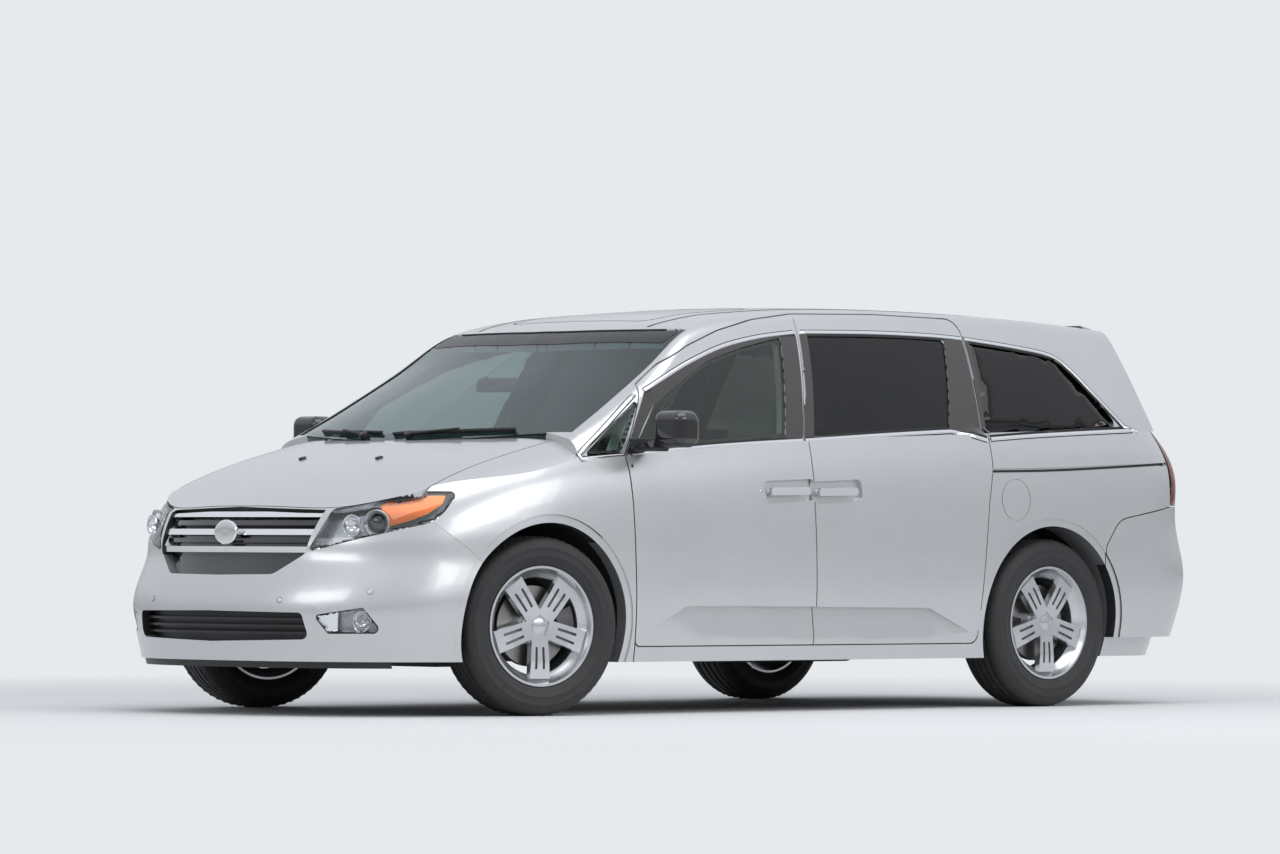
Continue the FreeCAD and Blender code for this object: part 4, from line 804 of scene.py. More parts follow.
class Skin:
    """The outer skin of several pieces, for laying trim on."""

    def __init__(self, pieces: Sequence[Thing], panes: Optional["Skin"] = None,
                 inset: float = 0.0) -> None:
        """Gather the pieces' faces.

        Args:
            pieces: The objects.
            panes: The skin of the glass in their openings.
            inset: How far that glass lies under their surface.
        """
        self.panes = panes
        self.inset = inset
        points: list[Vector] = []
        faces: list[tuple[int, ...]] = []
        for piece in pieces:
            first = len(points)
            points += [vertex.co.copy() for vertex in piece.data.vertices]
            faces += [tuple(first + index for index in polygon.vertices) for polygon in piece.data.polygons]
        self.tree = BVHTree.FromPolygons(points, faces)

    def hit(self, start: Vector, direction: Vector) -> tuple[Vector, Vector]:
        """Where a ray meets the skin, and the skin's direction there.

        Args:
            start: Where the ray starts.
            direction: Where it goes.

        Returns:
            The point and the outward normal, or the nearest point where the ray misses.
        """
        point, normal, _, reach = self.tree.ray_cast(start, direction)
        if self.panes is not None:
            pane, facing, _, distance = self.panes.tree.ray_cast(start, direction)
            if pane is not None and (point is None or distance < reach):
                point, normal = pane - direction * self.inset, facing
        if point is None:
            point, normal, _, _ = self.tree.find_nearest(start + direction * 0.4)
        if normal.dot(direction) > 0:
            normal = -normal
        return point, normal

    def side(self, x: float, z: float) -> tuple[Vector, Vector]:
        """The point of the left side at a place and height."""
        return self.hit(Vector((x, SIDE_PROBE_Y, z)), -LEFT)

    def nose(self, y: float, z: float) -> tuple[Vector, Vector]:
        """The point of the front end at a width and height."""
        return self.hit(Vector((END_PROBE_X, y, z)), -AHEAD)

    def tail(self, y: float, z: float) -> tuple[Vector, Vector]:
        """The point of the rear end at a width and height."""
        return self.hit(Vector((-END_PROBE_X, y, z)), AHEAD)

    def over(self, x: float, y: float) -> tuple[Vector, Vector]:
        """The point of the top at a place and width."""
        return self.hit(Vector((x, y, TOP_PROBE_Z)), -UP)


def smooth_line(points: Sequence[Sequence[float]], count: int) -> list[Vector]:
    """Points evenly spaced along a smooth curve through given points.

    Args:
        points: The points that the curve passes through.
        count: How many points are wanted.

    Returns:
        The points.
    """
    given = [Vector([*p, 0.0][:3]) for p in points]
    dense: list[Vector] = []
    for k in range(len(given) - 1):
        before = given[max(k - 1, 0)]
        a, b = given[k], given[k + 1]
        after = given[min(k + 2, len(given) - 1)]
        for step in range(24):
            t = step / 24
            dense.append(0.5 * ((2 * a) + (b - before) * t + (2 * before - 5 * a + 4 * b - after) * t * t
                                + (3 * a - before - 3 * b + after) * t * t * t))
    dense.append(given[-1])
    reach = [0.0]
    for a, b in zip(dense, dense[1:]):
        reach.append(reach[-1] + (b - a).length)
    line, k = [], 0
    for i in range(count):
        goal = reach[-1] * i / (count - 1)
        while k < len(reach) - 2 and reach[k + 1] < goal:
            k += 1
        share = (goal - reach[k]) / max(reach[k + 1] - reach[k], 1e-9)
        line.append(dense[k].lerp(dense[k + 1], min(1.0, share)))
    return line


def patch(name: str, edges: Sequence[Sequence[Point]], probe: Probe,
          lift: float, thickness: float, along: int, across: int, curved: bool = True) -> Thing:
    """A thin piece that lies on the skin between two lines.

    Args:
        name: The piece's name.
        edges: The two lines, each of points in the probe's own pair of axes.
        probe: The skin's probe.
        lift: How far the sheet's inner face stands off the skin.
        thickness: How thick the piece is.
        along: Faces along the lines.
        across: Faces from one line to the other.
        curved: Whether the lines are smoothed.

    Returns:
        The new object.
    """
    first, second = (smooth_line(edge, along + 1) if curved else straight_line(edge, along + 1)
                     for edge in edges)
    clear_selection()
    bpy.ops.mesh.primitive_grid_add(x_subdivisions=along, y_subdivisions=across, size=1.0)
    piece = bpy.context.object
    piece.name = name
    facing = Vector()
    for vertex in piece.data.vertices:
        step = min(along, max(0, round((vertex.co.x + 0.5) * along)))
        row = min(across, max(0, round((vertex.co.y + 0.5) * across)))
        spot = first[step].lerp(second[step], row / across)
        point, normal = probe(spot.x, spot.y)
        vertex.co = point + normal * lift
        facing += normal
    piece.data.update()
    if sum(polygon.normal.dot(facing) for polygon in piece.data.polygons) < 0:
        with editing(piece):
            bpy.ops.mesh.flip_normals()
    return smooth(thicken(piece, thickness))


def straight_line(points: Sequence[Sequence[float]], count: int) -> list[Vector]:
    """Points along straight runs, with every given corner kept.

    Args:
        points: The corners.
        count: How many points are wanted.

    Returns:
        The points.
    """
    given = [Vector([*p, 0.0][:3]) for p in points]
    reach = [0.0]
    for a, b in zip(given, given[1:]):
        reach.append(reach[-1] + (b - a).length)
    spots = [round(r / reach[-1] * (count - 1)) for r in reach]
    line: list[Vector] = []
    for k in range(len(given) - 1):
        steps = max(1, spots[k + 1] - spots[k])
        line += [given[k].lerp(given[k + 1], s / steps) for s in range(steps)]
    line.append(given[-1])
    while len(line) < count:
        line.append(given[-1].copy())
    return line[:count - 1] + [given[-1]]


def strip(name: str, line: Sequence[Point], probe: Probe, width: float,
          height: float, count: int, sink: float = 0.002) -> Thing:
    """A moulding of rounded section that follows a line on the skin.

    Args:
        name: The piece's name.
        line: Points of the line in the probe's pair of axes.
        probe: The skin's probe.
        width: The moulding's width.
        height: How far it stands off the skin.
        count: Points along it.
        sink: How far its foot goes into the skin.

    Returns:
        The new object.
    """
    spots = smooth_line(line, count)
    found = [probe(spot.x, spot.y) for spot in spots]
    shape = [(-0.5, -sink / height), (-0.5, 0.45), (-0.36, 0.82), (-0.15, 0.98), (0.15, 0.98), (0.36, 0.82),
             (0.5, 0.45), (0.5, -sink / height)]
    clear_selection()
    bpy.ops.mesh.primitive_grid_add(x_subdivisions=count - 1, y_subdivisions=len(shape) - 1, size=1.0)
    piece = bpy.context.object
    piece.name = name
    for vertex in piece.data.vertices:
        step = round((vertex.co.x + 0.5) * (count - 1))
        row = round((vertex.co.y + 0.5) * (len(shape) - 1))
        point, normal = found[step]
        ahead = (found[min(step + 1, count - 1)][0] - found[max(step - 1, 0)][0]).normalized()
        sideways = normal.cross(ahead).normalized()
        across, up = shape[row]
        vertex.co = point + sideways * (across * width) + normal * (up * height)
    with editing(piece):
        bpy.ops.mesh.select_all(action="DESELECT")
        bpy.ops.mesh.select_non_manifold()
        bpy.ops.mesh.fill()
        bpy.ops.mesh.select_all(action="SELECT")
        bpy.ops.mesh.normals_make_consistent(inside=False)
    return smooth(piece, 50.0)


def dress_by(piece: Thing, looks: Sequence[Look],
             choose: Chooser) -> Thing:
    """Give the faces of a piece their finishes.

    Args:
        piece: The object.
        looks: The finishes.
        choose: Which of them a face takes.

    Returns:
        The same object.
    """
    piece.data.materials.clear()
    for look in looks:
        piece.data.materials.append(look.material)
    for polygon in piece.data.polygons:
        polygon.material_index = choose(polygon)
    return piece


def keep_faces(piece: Thing, test: Callable[[Polygon], bool]) -> Thing:
    """Delete the faces of a piece that fail a test.

    Args:
        piece: The object.
        test: Whether a face stays.

    Returns:
        The same object.
    """
    activate(piece)
    chosen = [not test(polygon) for polygon in piece.data.polygons]
    bpy.context.tool_settings.mesh_select_mode = (False, False, True)
    bpy.ops.object.mode_set(mode="EDIT")
    bpy.ops.mesh.select_all(action="DESELECT")
    bpy.ops.object.mode_set(mode="OBJECT")
    for polygon, gone in zip(piece.data.polygons, chosen):
        polygon.select = gone
    bpy.ops.object.mode_set(mode="EDIT")
    bpy.ops.mesh.delete(type="FACE")
    bpy.ops.mesh.select_mode(type="VERT")
    bpy.ops.object.mode_set(mode="OBJECT")
    return piece


def even_shading(piece: Thing) -> Thing:
    """Let broad faces set the shading, so that narrow ones beside them do not ripple.

    Args:
        piece: The object.

    Returns:
        The same object.
    """
    modifier = piece.modifiers.new("even shading", "WEIGHTED_NORMAL")
    modifier.mode = "FACE_AREA_WITH_ANGLE"
    modifier.weight = 60
    modifier.keep_sharp = True
    return apply_modifiers(piece)


def both_sides(piece: Thing, name: str, look: Look, slot: str,
               bodies: tuple[str, str] = FIXED) -> None:
    """Place a left piece and its twin on the right.

    Args:
        piece: The left object.
        name: The pair's name.
        look: Their finish.
        slot: The record's material slot.
        bodies: The bodies that carry the left and the right one.
    """
    mirror = other_side(piece, name + "_right")
    place(piece, name + "_left", bodies[0], look, slot)
    place(mirror, name + "_right", bodies[1], look, slot)


def aimed(piece: Thing, spot: Sequence[float], aim: Sequence[float]) -> Thing:
    """Turn a piece made about the Y axis so that its outer face looks along aim, and move it to a spot.

    Args:
        piece: The object.
        spot: Where its origin goes.
        aim: Where its +Y side looks.

    Returns:
        The same object.
    """
    piece.rotation_mode = "QUATERNION"
    piece.rotation_quaternion = LEFT.rotation_difference(Vector(aim).normalized())
    piece.location = spot
    return settle(piece)


def turned_pair(name: str, profile: Sequence[Point], steps: int, stand: tuple[Sequence, Sequence], look: Look,
                slot: str, bodies: tuple[str, str] = FIXED, degrees: Optional[float] = 40.0) -> None:
    """A turned piece that stands on a spot of the left side, and its twin on the right.

    Args:
        name: The pair's name.
        profile: The profile that is turned.
        steps: How many faces it has round.
        stand: Where its origin goes, and where it looks.
        look: Its finish.
        slot: The record's material slot.
        bodies: The bodies that carry the left and the right one.
        degrees: The angle of its smooth shading, or None for flat faces.
    """
    piece = aimed(turned(profile, steps), *stand)
    if degrees is not None:
        smooth(piece, degrees)
    both_sides(piece, name, look, slot, bodies)


def offset_line(line: Sequence[Point], distance: float) -> list[Point]:
    """A line moved sideways in its own plane.

    Args:
        line: The line's points.
        distance: How far it moves to the left of its direction.

    Returns:
        The moved points.
    """
    moved = []
    for k, (a, b) in enumerate(line):
        before, after = line[max(k - 1, 0)], line[min(k + 1, len(line) - 1)]
        run = Vector((after[0] - before[0], after[1] - before[1])).normalized()
        moved.append((a - run.y * distance, b + run.x * distance))
    return moved


def pad(name: str, centre: Sequence[float], size: Sequence[float], crown: float, seams: Sequence[float],
        bolster: float, lean: float = 0.0, pivot: Optional[Sequence[float]] = None, face: str = "Z") -> Thing:
    """A stuffed cushion: a crowned closed form whose sides pull in, with sewn channels across its face.

    Args:
        name: The piece's name.
        centre: Its middle.
        size: Its size along X, Y and Z.
        crown: How far its face swells.
        seams: Where the channels lie across its width, from -1 to 1.
        bolster: How far its sides rise over its middle.
        lean: How far it leans back, in degrees.
        pivot: The point that it leans about.
        face: The axis that its face looks along.

    Returns:
        The new object.
    """
    clear_selection()
    bpy.ops.mesh.primitive_cube_add(size=2.0)
    piece = bpy.context.object
    piece.name = name
    with editing(piece):
        bpy.ops.mesh.subdivide(number_cuts=18)
    up, along = {"Z": (2, 0), "X": (0, 2)}[face]
    for vertex in piece.data.vertices:
        raw = vertex.co.copy()
        spread = sum(abs(c)**7 for c in raw)**(1 / 7)
        spot = raw / spread
        top = max(0.0, raw[up])
        middle = (1 - raw[1]**2) * (1 - raw[along]**2)
        rise = crown * middle * top + bolster * top * max(0.0, abs(raw[1]) - 0.55)**1.5 * 3.0
        dip = sum(math.exp(-((raw[1] - seam) / 0.045)**2) for seam in seams) * 0.007 * top
        spot = Vector(spot[i] * size[i] / 2 for i in range(3))
        spot[up] += rise - dip
        pull = 1 - 0.018 * (1 - abs(raw[up]))
        spot[along] *= pull
        vertex.co = spot
    modifier = piece.modifiers.new("stuffing", "SUBSURF")
    modifier.levels = modifier.render_levels = 1
    apply_modifiers(piece)
    piece.location = centre
    settle(piece)
    if lean:
        hub = Vector(pivot or centre)
        turn = Matrix.Rotation(math.radians(-lean), 4, "Y")
        piece.matrix_world = Matrix.Translation(hub) @ turn @ Matrix.Translation(-hub)
        settle(piece)
    return smooth(piece, 60.0)


# Sub-assemblies


@dataclass
class Bodywork:
    """The painted panels, each a merged copy of its solid with clean normals."""

    crease_angle: float = 24.0
    glass_reach: float = 0.05
    panels: dict[str, tuple[str, str]] = field(default_factory=lambda: {
        "body_side_left": ("body", "side_panel_left"), "body_side_right": ("body", "side_panel_right"),
        "roof": ("body", "roof_panel"), "fender_left": ("body", "fender_panel_left"),
        "fender_right": ("body", "fender_panel_right"), "front_bumper": ("body", "front_bumper_cover"),
        "rear_bumper": ("body", "rear_bumper_cover"), "hood": ("hood", "hood_panel"),
        "front_door_left": ("front_door_left", "front_door_panel_left"),
        "front_door_right": ("front_door_right", "front_door_panel_right"),
        "sliding_door_left": ("body", "sliding_door_panel_left"),
        "sliding_door_right": ("body", "sliding_door_panel_right"),
        "tailgate": ("tailgate", "tailgate_panel")})
    side_glass: tuple[str, ...] = ("fixed_side_glass", "front_door_glass_left", "front_door_glass_right",
                                   "sliding_door_glass")
    end_glass: tuple[str, ...] = ("windshield", "tailgate_glass")
    glass_inset: float = 0.005
    made: dict[str, Thing] = field(default_factory=dict)

    def build(self) -> None:
        """Copy, clean and paint every panel."""
        panes = Skin([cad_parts[node] for node in self.side_glass + self.end_glass])
        for node, (body, name) in self.panels.items():
            panel = cleaned(node, name, body, "body_paint", self.crease_angle, even=True)
            self.made[node] = dress_by(panel, (Look.PAINT, Look.SEAL, Look.TRIM_GREY, Look.UNDERSIDE),
                                       self.chooser(node, panes))

    def chooser(self, node: str, panes: Skin) -> Chooser:
        """Which finish each face of a panel takes.

        Args:
            node: The panel's solid.
            panes: The glass.

        Returns:
            A function from a face to 0 for paint, 1 for rubber, 2 for cabin trim, 3 for the dark underside;
            on the roof's front inner faces that dark finish is painted shade under the roof's edge.
        """
        side = -1.0 if node.endswith("right") else 1.0
        lined = node.startswith(("body_side", "front_door", "sliding_door"))

        def choose(polygon: Polygon) -> int:
            """Pick the finish of one face.

            Args:
                polygon: The face.

            Returns:
                0 to 3, as the function around this one says.
            """
            spot, facing = polygon.center, polygon.normal
            if node == "roof":
                # The roof's inner faces near its front take the near-black underside finish as painted shade
                # under the roof's edge, seen through the windshield.
                if facing.z < 0.1 and spot.x > 0.4:
                    return 3
                return 2 if facing.z < -0.3 else 0
            hit = panes.tree.ray_cast(spot + facing * 0.0005, facing, self.glass_reach)
            if hit[0] is not None:
                return 1
            if node == "tailgate":
                return 2 if facing.x > 0.35 and spot.z > 0.5 else 0
            if lined:
                inboard = facing.y * side < -0.35
                wheel = min(math.dist((spot.x, spot.z), (x, HUB_HEIGHT)) for x in (FRONT_AXLE_X, REAR_AXLE_X))
                if inboard:
                    return 3 if spot.z < 0.28 or wheel < 0.46 else 2
                return 0
            if node == "hood":
                return 3 if facing.z < -0.2 else 0
            depth = facing.x * (1 if spot.x > 0 else -1) * 0.7 + facing.y * (1 if spot.y > 0 else -1) * 0.7
            return 3 if depth < -0.4 or facing.z < -0.8 else 0
        return choose

    def skin(self, *nodes: str) -> Skin:
        """The outer skin of some panels, made up level over the side glass."""
        panes = Skin([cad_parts[node] for node in self.side_glass])
        return Skin([self.made[node] for node in nodes], panes, self.glass_inset)


@dataclass
class Glazing:
    """The window glass, with the black bands round it and the dark films on the pillars; the band along the
    windshield's top is partly its black frit and partly painted shade under the roof's edge.
    """

    nodes: dict[str, Look] = field(default_factory=lambda: {
        "windshield": Look.WINDSHIELD, "front_door_glass_left": Look.FRONT_GLASS,
        "front_door_glass_right": Look.FRONT_GLASS, "sliding_door_glass": Look.PRIVACY,
        "tailgate_glass": Look.PRIVACY})
    corner_from_x: float = 0.9
    header_edge: tuple[Point, ...] = ((0.704, 0.0), (0.696, 0.2), (0.664, 0.4), (0.632, 0.55), (0.616, 0.62),
                                      (0.600, 0.68), (0.590, 0.71))
    header_inset: float = 0.006
    header_depth: float = 0.095
    header_thickness: float = 0.0008
    film_stand: float = 0.0006
    film_thickness: float = 0.0016

    def build(self, bodywork: Bodywork) -> None:
        """Dress the glass and lay the films.

        Args:
            bodywork: The panels that carry the films.
        """
        for node, look in self.nodes.items():
            dress(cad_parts[node], look)
        side = merged_copy("fixed_side_glass", "side_glass")
        place(side, "side_glass", "body", None, "privacy_glass", ["fixed_side_glass"])
        dress_by(side, (Look.PRIVACY, Look.FRONT_GLASS), lambda face: int(face.center.x > self.corner_from_x))
        self.films(bodywork)

    def films(self, bodywork: Bodywork) -> None:
        """The dark bands between the side windows.

        Args:
            bodywork: The body's panels.
        """
        front, slide = bodywork.skin("front_door_left"), bodywork.skin("sliding_door_left")
        side = bodywork.skin("body_side_left")
        bands = (
            ("door_rear_film", DOORS, front, [(0.086, 1.152), (0.009, 1.40), (-0.049, 1.590)],
             [(0.189, 1.149), (0.109, 1.40), (0.048, 1.585)]),
            ("slide_front_film", FIXED, slide, [(0.018, 1.160), (-0.058, 1.40), (-0.123, 1.606)],
             [(0.075, 1.154), (-0.001, 1.40), (-0.060, 1.596)]),
            ("slide_rear_film", FIXED, slide, [(-1.028, 1.180), (-1.059, 1.40), (-1.088, 1.596)],
             [(-0.833, 1.202), (-0.902, 1.40), (-0.971, 1.600)]),
            ("quarter_front_film", FIXED, side, [(-1.062, 1.190), (-1.096, 1.40), (-1.129, 1.598)],
             [(-1.041, 1.188), (-1.069, 1.40), (-1.097, 1.598)]),
            ("door_top_film", DOORS, front,
             [(0.046, 1.583), (0.180, 1.558), (0.300, 1.534), (0.420, 1.504), (0.550, 1.466), (0.690, 1.400),
              (0.832, 1.326), (0.905, 1.283)],
             [(0.046, 1.600), (0.200, 1.580), (0.350, 1.556), (0.480, 1.523), (0.610, 1.478), (0.735, 1.432),
              (0.870, 1.378), (0.957, 1.328)]),
            ("door_corner_film", DOORS, front, [(1.088, 1.082), (0.998, 1.195), (0.911, 1.288)],
             [(1.122, 1.079), (1.040, 1.210), (0.957, 1.325)]))
        for name, bodies, skin, rear, ahead in bands:
            film = patch(name, (rear, ahead), skin.side, self.film_stand, self.film_thickness, 16, 4, False)
            both_sides(film, name, Look.PILLAR_FILM, "black_plastic", bodies)
        self.header()

    def header(self) -> None:
        """The dark band along the top of the windshield: partly its black frit, partly painted shade under
        the roof's edge.
        """
        glass = Skin([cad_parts["windshield"]])
        edge = [(x + self.header_inset, y) for x, y in self.header_edge]
        # A near-black sheet along the glass's top edge: black frit, and painted shade where the roof's edge
        # darkens the glass.
        band = patch("windshield_frit_and_shade_band", (edge, [(x + self.header_depth, y) for x, y in edge]), glass.over,
                     self.film_stand, self.header_thickness, 40, 6)
        both_sides(band, "windshield_frit_and_shade_band", Look.LAMP_BLACK, "black_plastic")


@dataclass
class BrightTrim:
    """The bright mouldings round the side windows, with the rubber beside them, each moulding on a wider
    black strip whose edges are painted shadow lines.
    """

    width: float = 0.016
    height: float = 0.0045
    shadow_margin: float = 0.009
    shadow_bed_height: float = 0.0014
    rubber_width: float = 0.012
    rubber_height: float = 0.0018
    face_length: float = 0.03
    top_line: tuple[Point, ...] = (
        (0.950, 1.347), (0.780, 1.420), (0.619, 1.482), (0.413, 1.546), (0.181, 1.590), (-0.063, 1.617),
        (-0.539, 1.625), (-0.908, 1.621), (-1.118, 1.611), (-1.424, 1.582), (-1.634, 1.551), (-1.733, 1.494),
        (-1.856, 1.377), (-2.028, 1.218))
    corner_line: tuple[Point, ...] = (
        (1.140, 1.066), (1.250, 1.058), (1.352, 1.051), (1.383, 1.056), (1.370, 1.078), (1.176, 1.209),
        (1.060, 1.285), (0.975, 1.338))
    front_belt: tuple[Point, ...] = ((1.122, 1.069), (0.900, 1.089), (0.640, 1.110), (0.360, 1.128),
                                     (0.094, 1.142))
    slide_belt: tuple[Point, ...] = ((0.074, 1.143), (-0.400, 1.172), (-0.800, 1.193), (-0.862, 1.193),
                                     (-0.940, 1.176), (-1.021, 1.159))
    quarter_belt: tuple[Point, ...] = ((-1.044, 1.164), (-1.300, 1.181), (-1.660, 1.200), (-2.014, 1.216))
    roof_gap_x: Point = (-0.052, -1.094)

    def run(self, name: str, line: Sequence[Point], skin: Skin, bodies: tuple[str, str],
            inner: float = 0.0) -> None:
        """Lay a moulding on a wider black strip whose edges show as painted shadow lines, and the rubber on
        its window side, on both sides of the van.

        Args:
            name: The moulding's name.
            line: The line of its middle.
            skin: The skin that carries it.
            bodies: The bodies of the left and the right one.
            inner: Where the rubber lies beside it, or 0 for none.
        """
        count = max(16, int(sum(math.dist(a, b) for a, b in zip(line, line[1:])) / self.face_length))
        # A black strip under the moulding, wider than it: the part that shows past its edges is a painted
        # shadow line.
        shadow_bed = strip(name + "_bed", line, skin.side, self.width + self.shadow_margin, self.shadow_bed_height, count)
        both_sides(shadow_bed, name + "_bed", Look.SEAL, "black_plastic", bodies)
        moulding = strip(name, line, skin.side, self.width, self.height, count)
        both_sides(moulding, name, Look.CHROME, "bright_trim", bodies)
        if inner:
            band = strip(name + "_rubber", offset_line(line, inner), skin.side, self.rubber_width,
                         self.rubber_height, count)
            both_sides(band, name + "_rubber", Look.SEAL, "black_plastic", bodies)

    def build(self, bodywork: Bodywork) -> None:
        """Lay every moulding.

        Args:
            bodywork: The panels that carry them.
        """
        side, front, slide = (bodywork.skin(node) for node in ("body_side_left", "front_door_left",
                                                               "sliding_door_left"))
        middle = offset_line(self.top_line, self.width / 2)
        first, second = self.roof_gap_x
        reach = self.width * 0.5 + self.rubber_width * 0.5 - 0.001
        self.run("top_moulding_front",
                 [p for p in middle if p[0] > first] + [self.between(middle, first + 0.005)],
                 front, DOORS, reach)
        self.run("top_moulding_slide", [self.between(middle, first - 0.005)]
                 + [p for p in middle if second < p[0] < first] + [self.between(middle, second + 0.005)],
                 slide, FIXED, reach)
        self.run("top_moulding_rear",
                 [self.between(middle, second - 0.012)] + [p for p in middle if p[0] < second],
                 side, FIXED, reach)
        self.run("corner_moulding", self.corner_line, side, FIXED)
        self.run("belt_moulding_front", self.front_belt, front, DOORS, -reach)
        self.run("belt_moulding_slide", self.slide_belt, slide, FIXED, -reach)
        self.run("belt_moulding_rear", self.quarter_belt, side, FIXED, -reach)

    def between(self, line: Sequence[Point], x: float) -> Point:
        """The point of a line at a given X.

        Args:
            line: The line.
            x: The X.

        Returns:
            The point, or the line's end where the line doesn't reach that X.
        """
        for (a, b), (c, d) in zip(line, line[1:]):
            if min(a, c) <= x <= max(a, c):
                return x, b + (d - b) * (x - a) / (c - a)
        return line[-1]


@dataclass
class Lamps:
    """Headlamps, fog lamps and tail lamps: clear or red skins over open housings with their reflectors."""

    lens_wall: float = 0.0022
    housing_wall: float = 0.001
    lens_share: float = 0.35
    head_view: Spot = (0.69, 0.72, 0.0)
    fog_view: Spot = (0.8, 0.6, 0.0)
    tail_view: Spot = (-0.5, 0.85, 0.0)
    high_beam: Spot = (2.352, 0.628, 0.772)
    high_aim: Spot = (1.0, 0.25, 0.0)
    high_size: Point = (0.040, 0.036)
    low_beam: Spot = (2.281, 0.697, 0.782)
    low_aim: Spot = (0.86, 0.5, 0.0)
    low_radius: float = 0.055
    fog_centre: Spot = (2.352, 0.694, 0.386)
    fog_aim: Spot = (0.9, 0.42, 0.0)
    fog_size: Point = (0.036, 0.022)
    fog_corner: tuple[tuple[Point, ...], ...] = (((-1.045, 0.400), (-1.000, 0.346)),
                                                 ((-0.950, 0.424), (-0.955, 0.346)))
    turn_edges: tuple[tuple[Point, ...], ...] = (
        ((-1.118, 0.772), (-1.04, 0.792), (-0.960, 0.822), (-0.900, 0.862)),
        ((-1.150, 0.858), (-1.06, 0.880), (-0.975, 0.898), (-0.885, 0.900)))
    tail_clear: Point = (0.985, 1.095)
    tail_clear_behind_x: float = -2.33

    def shell_and_back(self, node: str, name: str, view: Spot, looks: tuple[Look, Look], slot: str) -> Thing:
        """Split a lamp's solid into its lens and its housing.

        Args:
            node: The lamp's solid.
            name: The pieces' name.
            view: Where the left lamp looks.
            looks: The finishes of the lens and the housing.
            slot: The record's slot.

        Returns:
            The lens.
        """
        def outer(face: Polygon) -> bool:
            """Whether a face belongs to the lens."""
            side = 1.0 if face.center.y > 0 else -1.0
            return face.normal.dot(Vector((view[0], view[1] * side, view[2]))) > self.lens_share

        skin = keep_faces(merged_copy(node, name + "_lens"), outer)
        thicken(smooth(skin, 40.0), self.lens_wall, -1.0, False)
        place(skin, name + "_lens", "body", looks[0], slot, [node])
        housing = keep_faces(merged_copy(node, name + "_housing"), lambda face: not outer(face))
        thicken(housing, self.housing_wall, 1.0, False)
        place(smooth(housing, 40.0), name + "_housing", "body", looks[1], "black_plastic")
        return skin

    def bowl(self, name: str, spot: Spot, aim: Spot, size: Point) -> None:
        """One open reflector with its bulb.

        Args:
            name: Its name.
            spot: The middle of its mouth.
            aim: Where it looks.
            size: Its mouth's radius and its depth.
        """
        radius, depth = size
        inner = [(radius * math.sin(math.pi / 2 * k / 8), -depth * math.cos(math.pi / 2 * k / 8) ** 1.3)
                 for k in range(1, 9)]
        outer = [(r + 0.002, y - 0.002) for r, y in reversed(inner)]
        rim = [(radius + 0.004, 0.001), (radius + 0.004, -0.004)]
        turned_pair(name, inner + rim + outer[1:], 48, (spot, aim), Look.REFLECTOR, "lamp_lens")
        bulb = [(AXIS, -depth * 0.2), (0.005, -depth * 0.26), (0.0065, -depth * 0.45),
                (0.0065, -depth * 0.95), (AXIS, -depth * 0.97)]
        turned_pair(name + "_bulb", bulb, 20, (spot, aim), Look.SATIN_CHROME, "lamp_lens", degrees=50.0)

    def projector(self, name: str, spot: Spot, aim: Spot, radius: float) -> None:
        """One projector: a bright ring round a dark round lens.

        Args:
            name: Its name.
            spot: The middle of its ring.
            aim: Where it looks.
            radius: The ring's radius.
        """
        ring = [(radius, 0.0), (radius + 0.001, -0.012), (radius - 0.004, -0.03), (radius * 0.72, -0.03),
                (radius * 0.70, -0.012), (radius * 0.82, -0.003), (radius - 0.004, 0.003)]
        turned_pair(name + "_ring", ring, 56, (spot, aim), Look.LAMP_GREY, "lamp_lens", degrees=35.0)
        dome = [(radius * 0.68 * math.cos(a), -0.024 + 0.020 * math.sin(a))
                for a in (math.pi / 2 * k / 7 for k in range(7))]
        eye = [(AXIS, -0.026), (radius * 0.68, -0.026)] + dome + [(AXIS, -0.004)]
        turned_pair(name + "_eye", eye, 48, (spot, aim), Look.GLOSS_BLACK, "lamp_lens")

    def build(self) -> None:
        """Build every lamp."""
        clear = (Look.LENS, Look.LAMP_GREY)
        lens = self.shell_and_back("headlamps", "headlamp", self.head_view, clear, "lamp_lens")
        self.bowl("high_beam", self.high_beam, self.high_aim, self.high_size)
        self.projector("low_beam", self.low_beam, self.low_aim, self.low_radius)
        probe = self.slanted(Skin([lens]), Vector(self.head_view).normalized())
        for name, lift, wall, look in (("turn_lamp", -0.008, 0.003, Look.AMBER),
                                       ("turn_reflector", -0.013, 0.002, Look.REFLECTOR)):
            both_sides(patch(name, self.turn_edges, probe, lift, wall, 20, 8, False), name, look, "lamp_lens")
        fog = self.shell_and_back("fog_lamps", "fog_lamp", self.fog_view, clear, "lamp_lens")
        self.bowl("fog_bowl", self.fog_centre, self.fog_aim, self.fog_size)
        shine = patch("fog_corner", self.fog_corner, self.slanted(Skin([fog]), Vector(self.fog_view)), -0.006,
                      0.002, 6, 8, False)
        both_sides(shine, "fog_corner", Look.CHROME, "bright_trim")
        tail = self.shell_and_back("tail_lamps", "tail_lamp", self.tail_view, (Look.RED, Look.REFLECTOR),
                                   "tail_lens")
        low, high = self.tail_clear
        dress_by(tail, (Look.RED, Look.LENS),
                 lambda face: int(low < face.center.z < high and face.center.x < self.tail_clear_behind_x))

    def slanted(self, skin: Skin, view: Vector) -> Probe:
        """A probe along a lamp's own line of sight.

        Args:
            skin: The lens.
            view: Where the lamp looks.

        Returns:
            A probe of (distance along the lens, height).
        """
        along = Vector((-view.y, view.x, 0.0))

        def probe(s: float, z: float) -> tuple[Vector, Vector]:
            """The lens's point at a distance and height."""
            start = along * s + view * 4.0
            return skin.hit(Vector((start.x, start.y, z)), -view)
        return probe


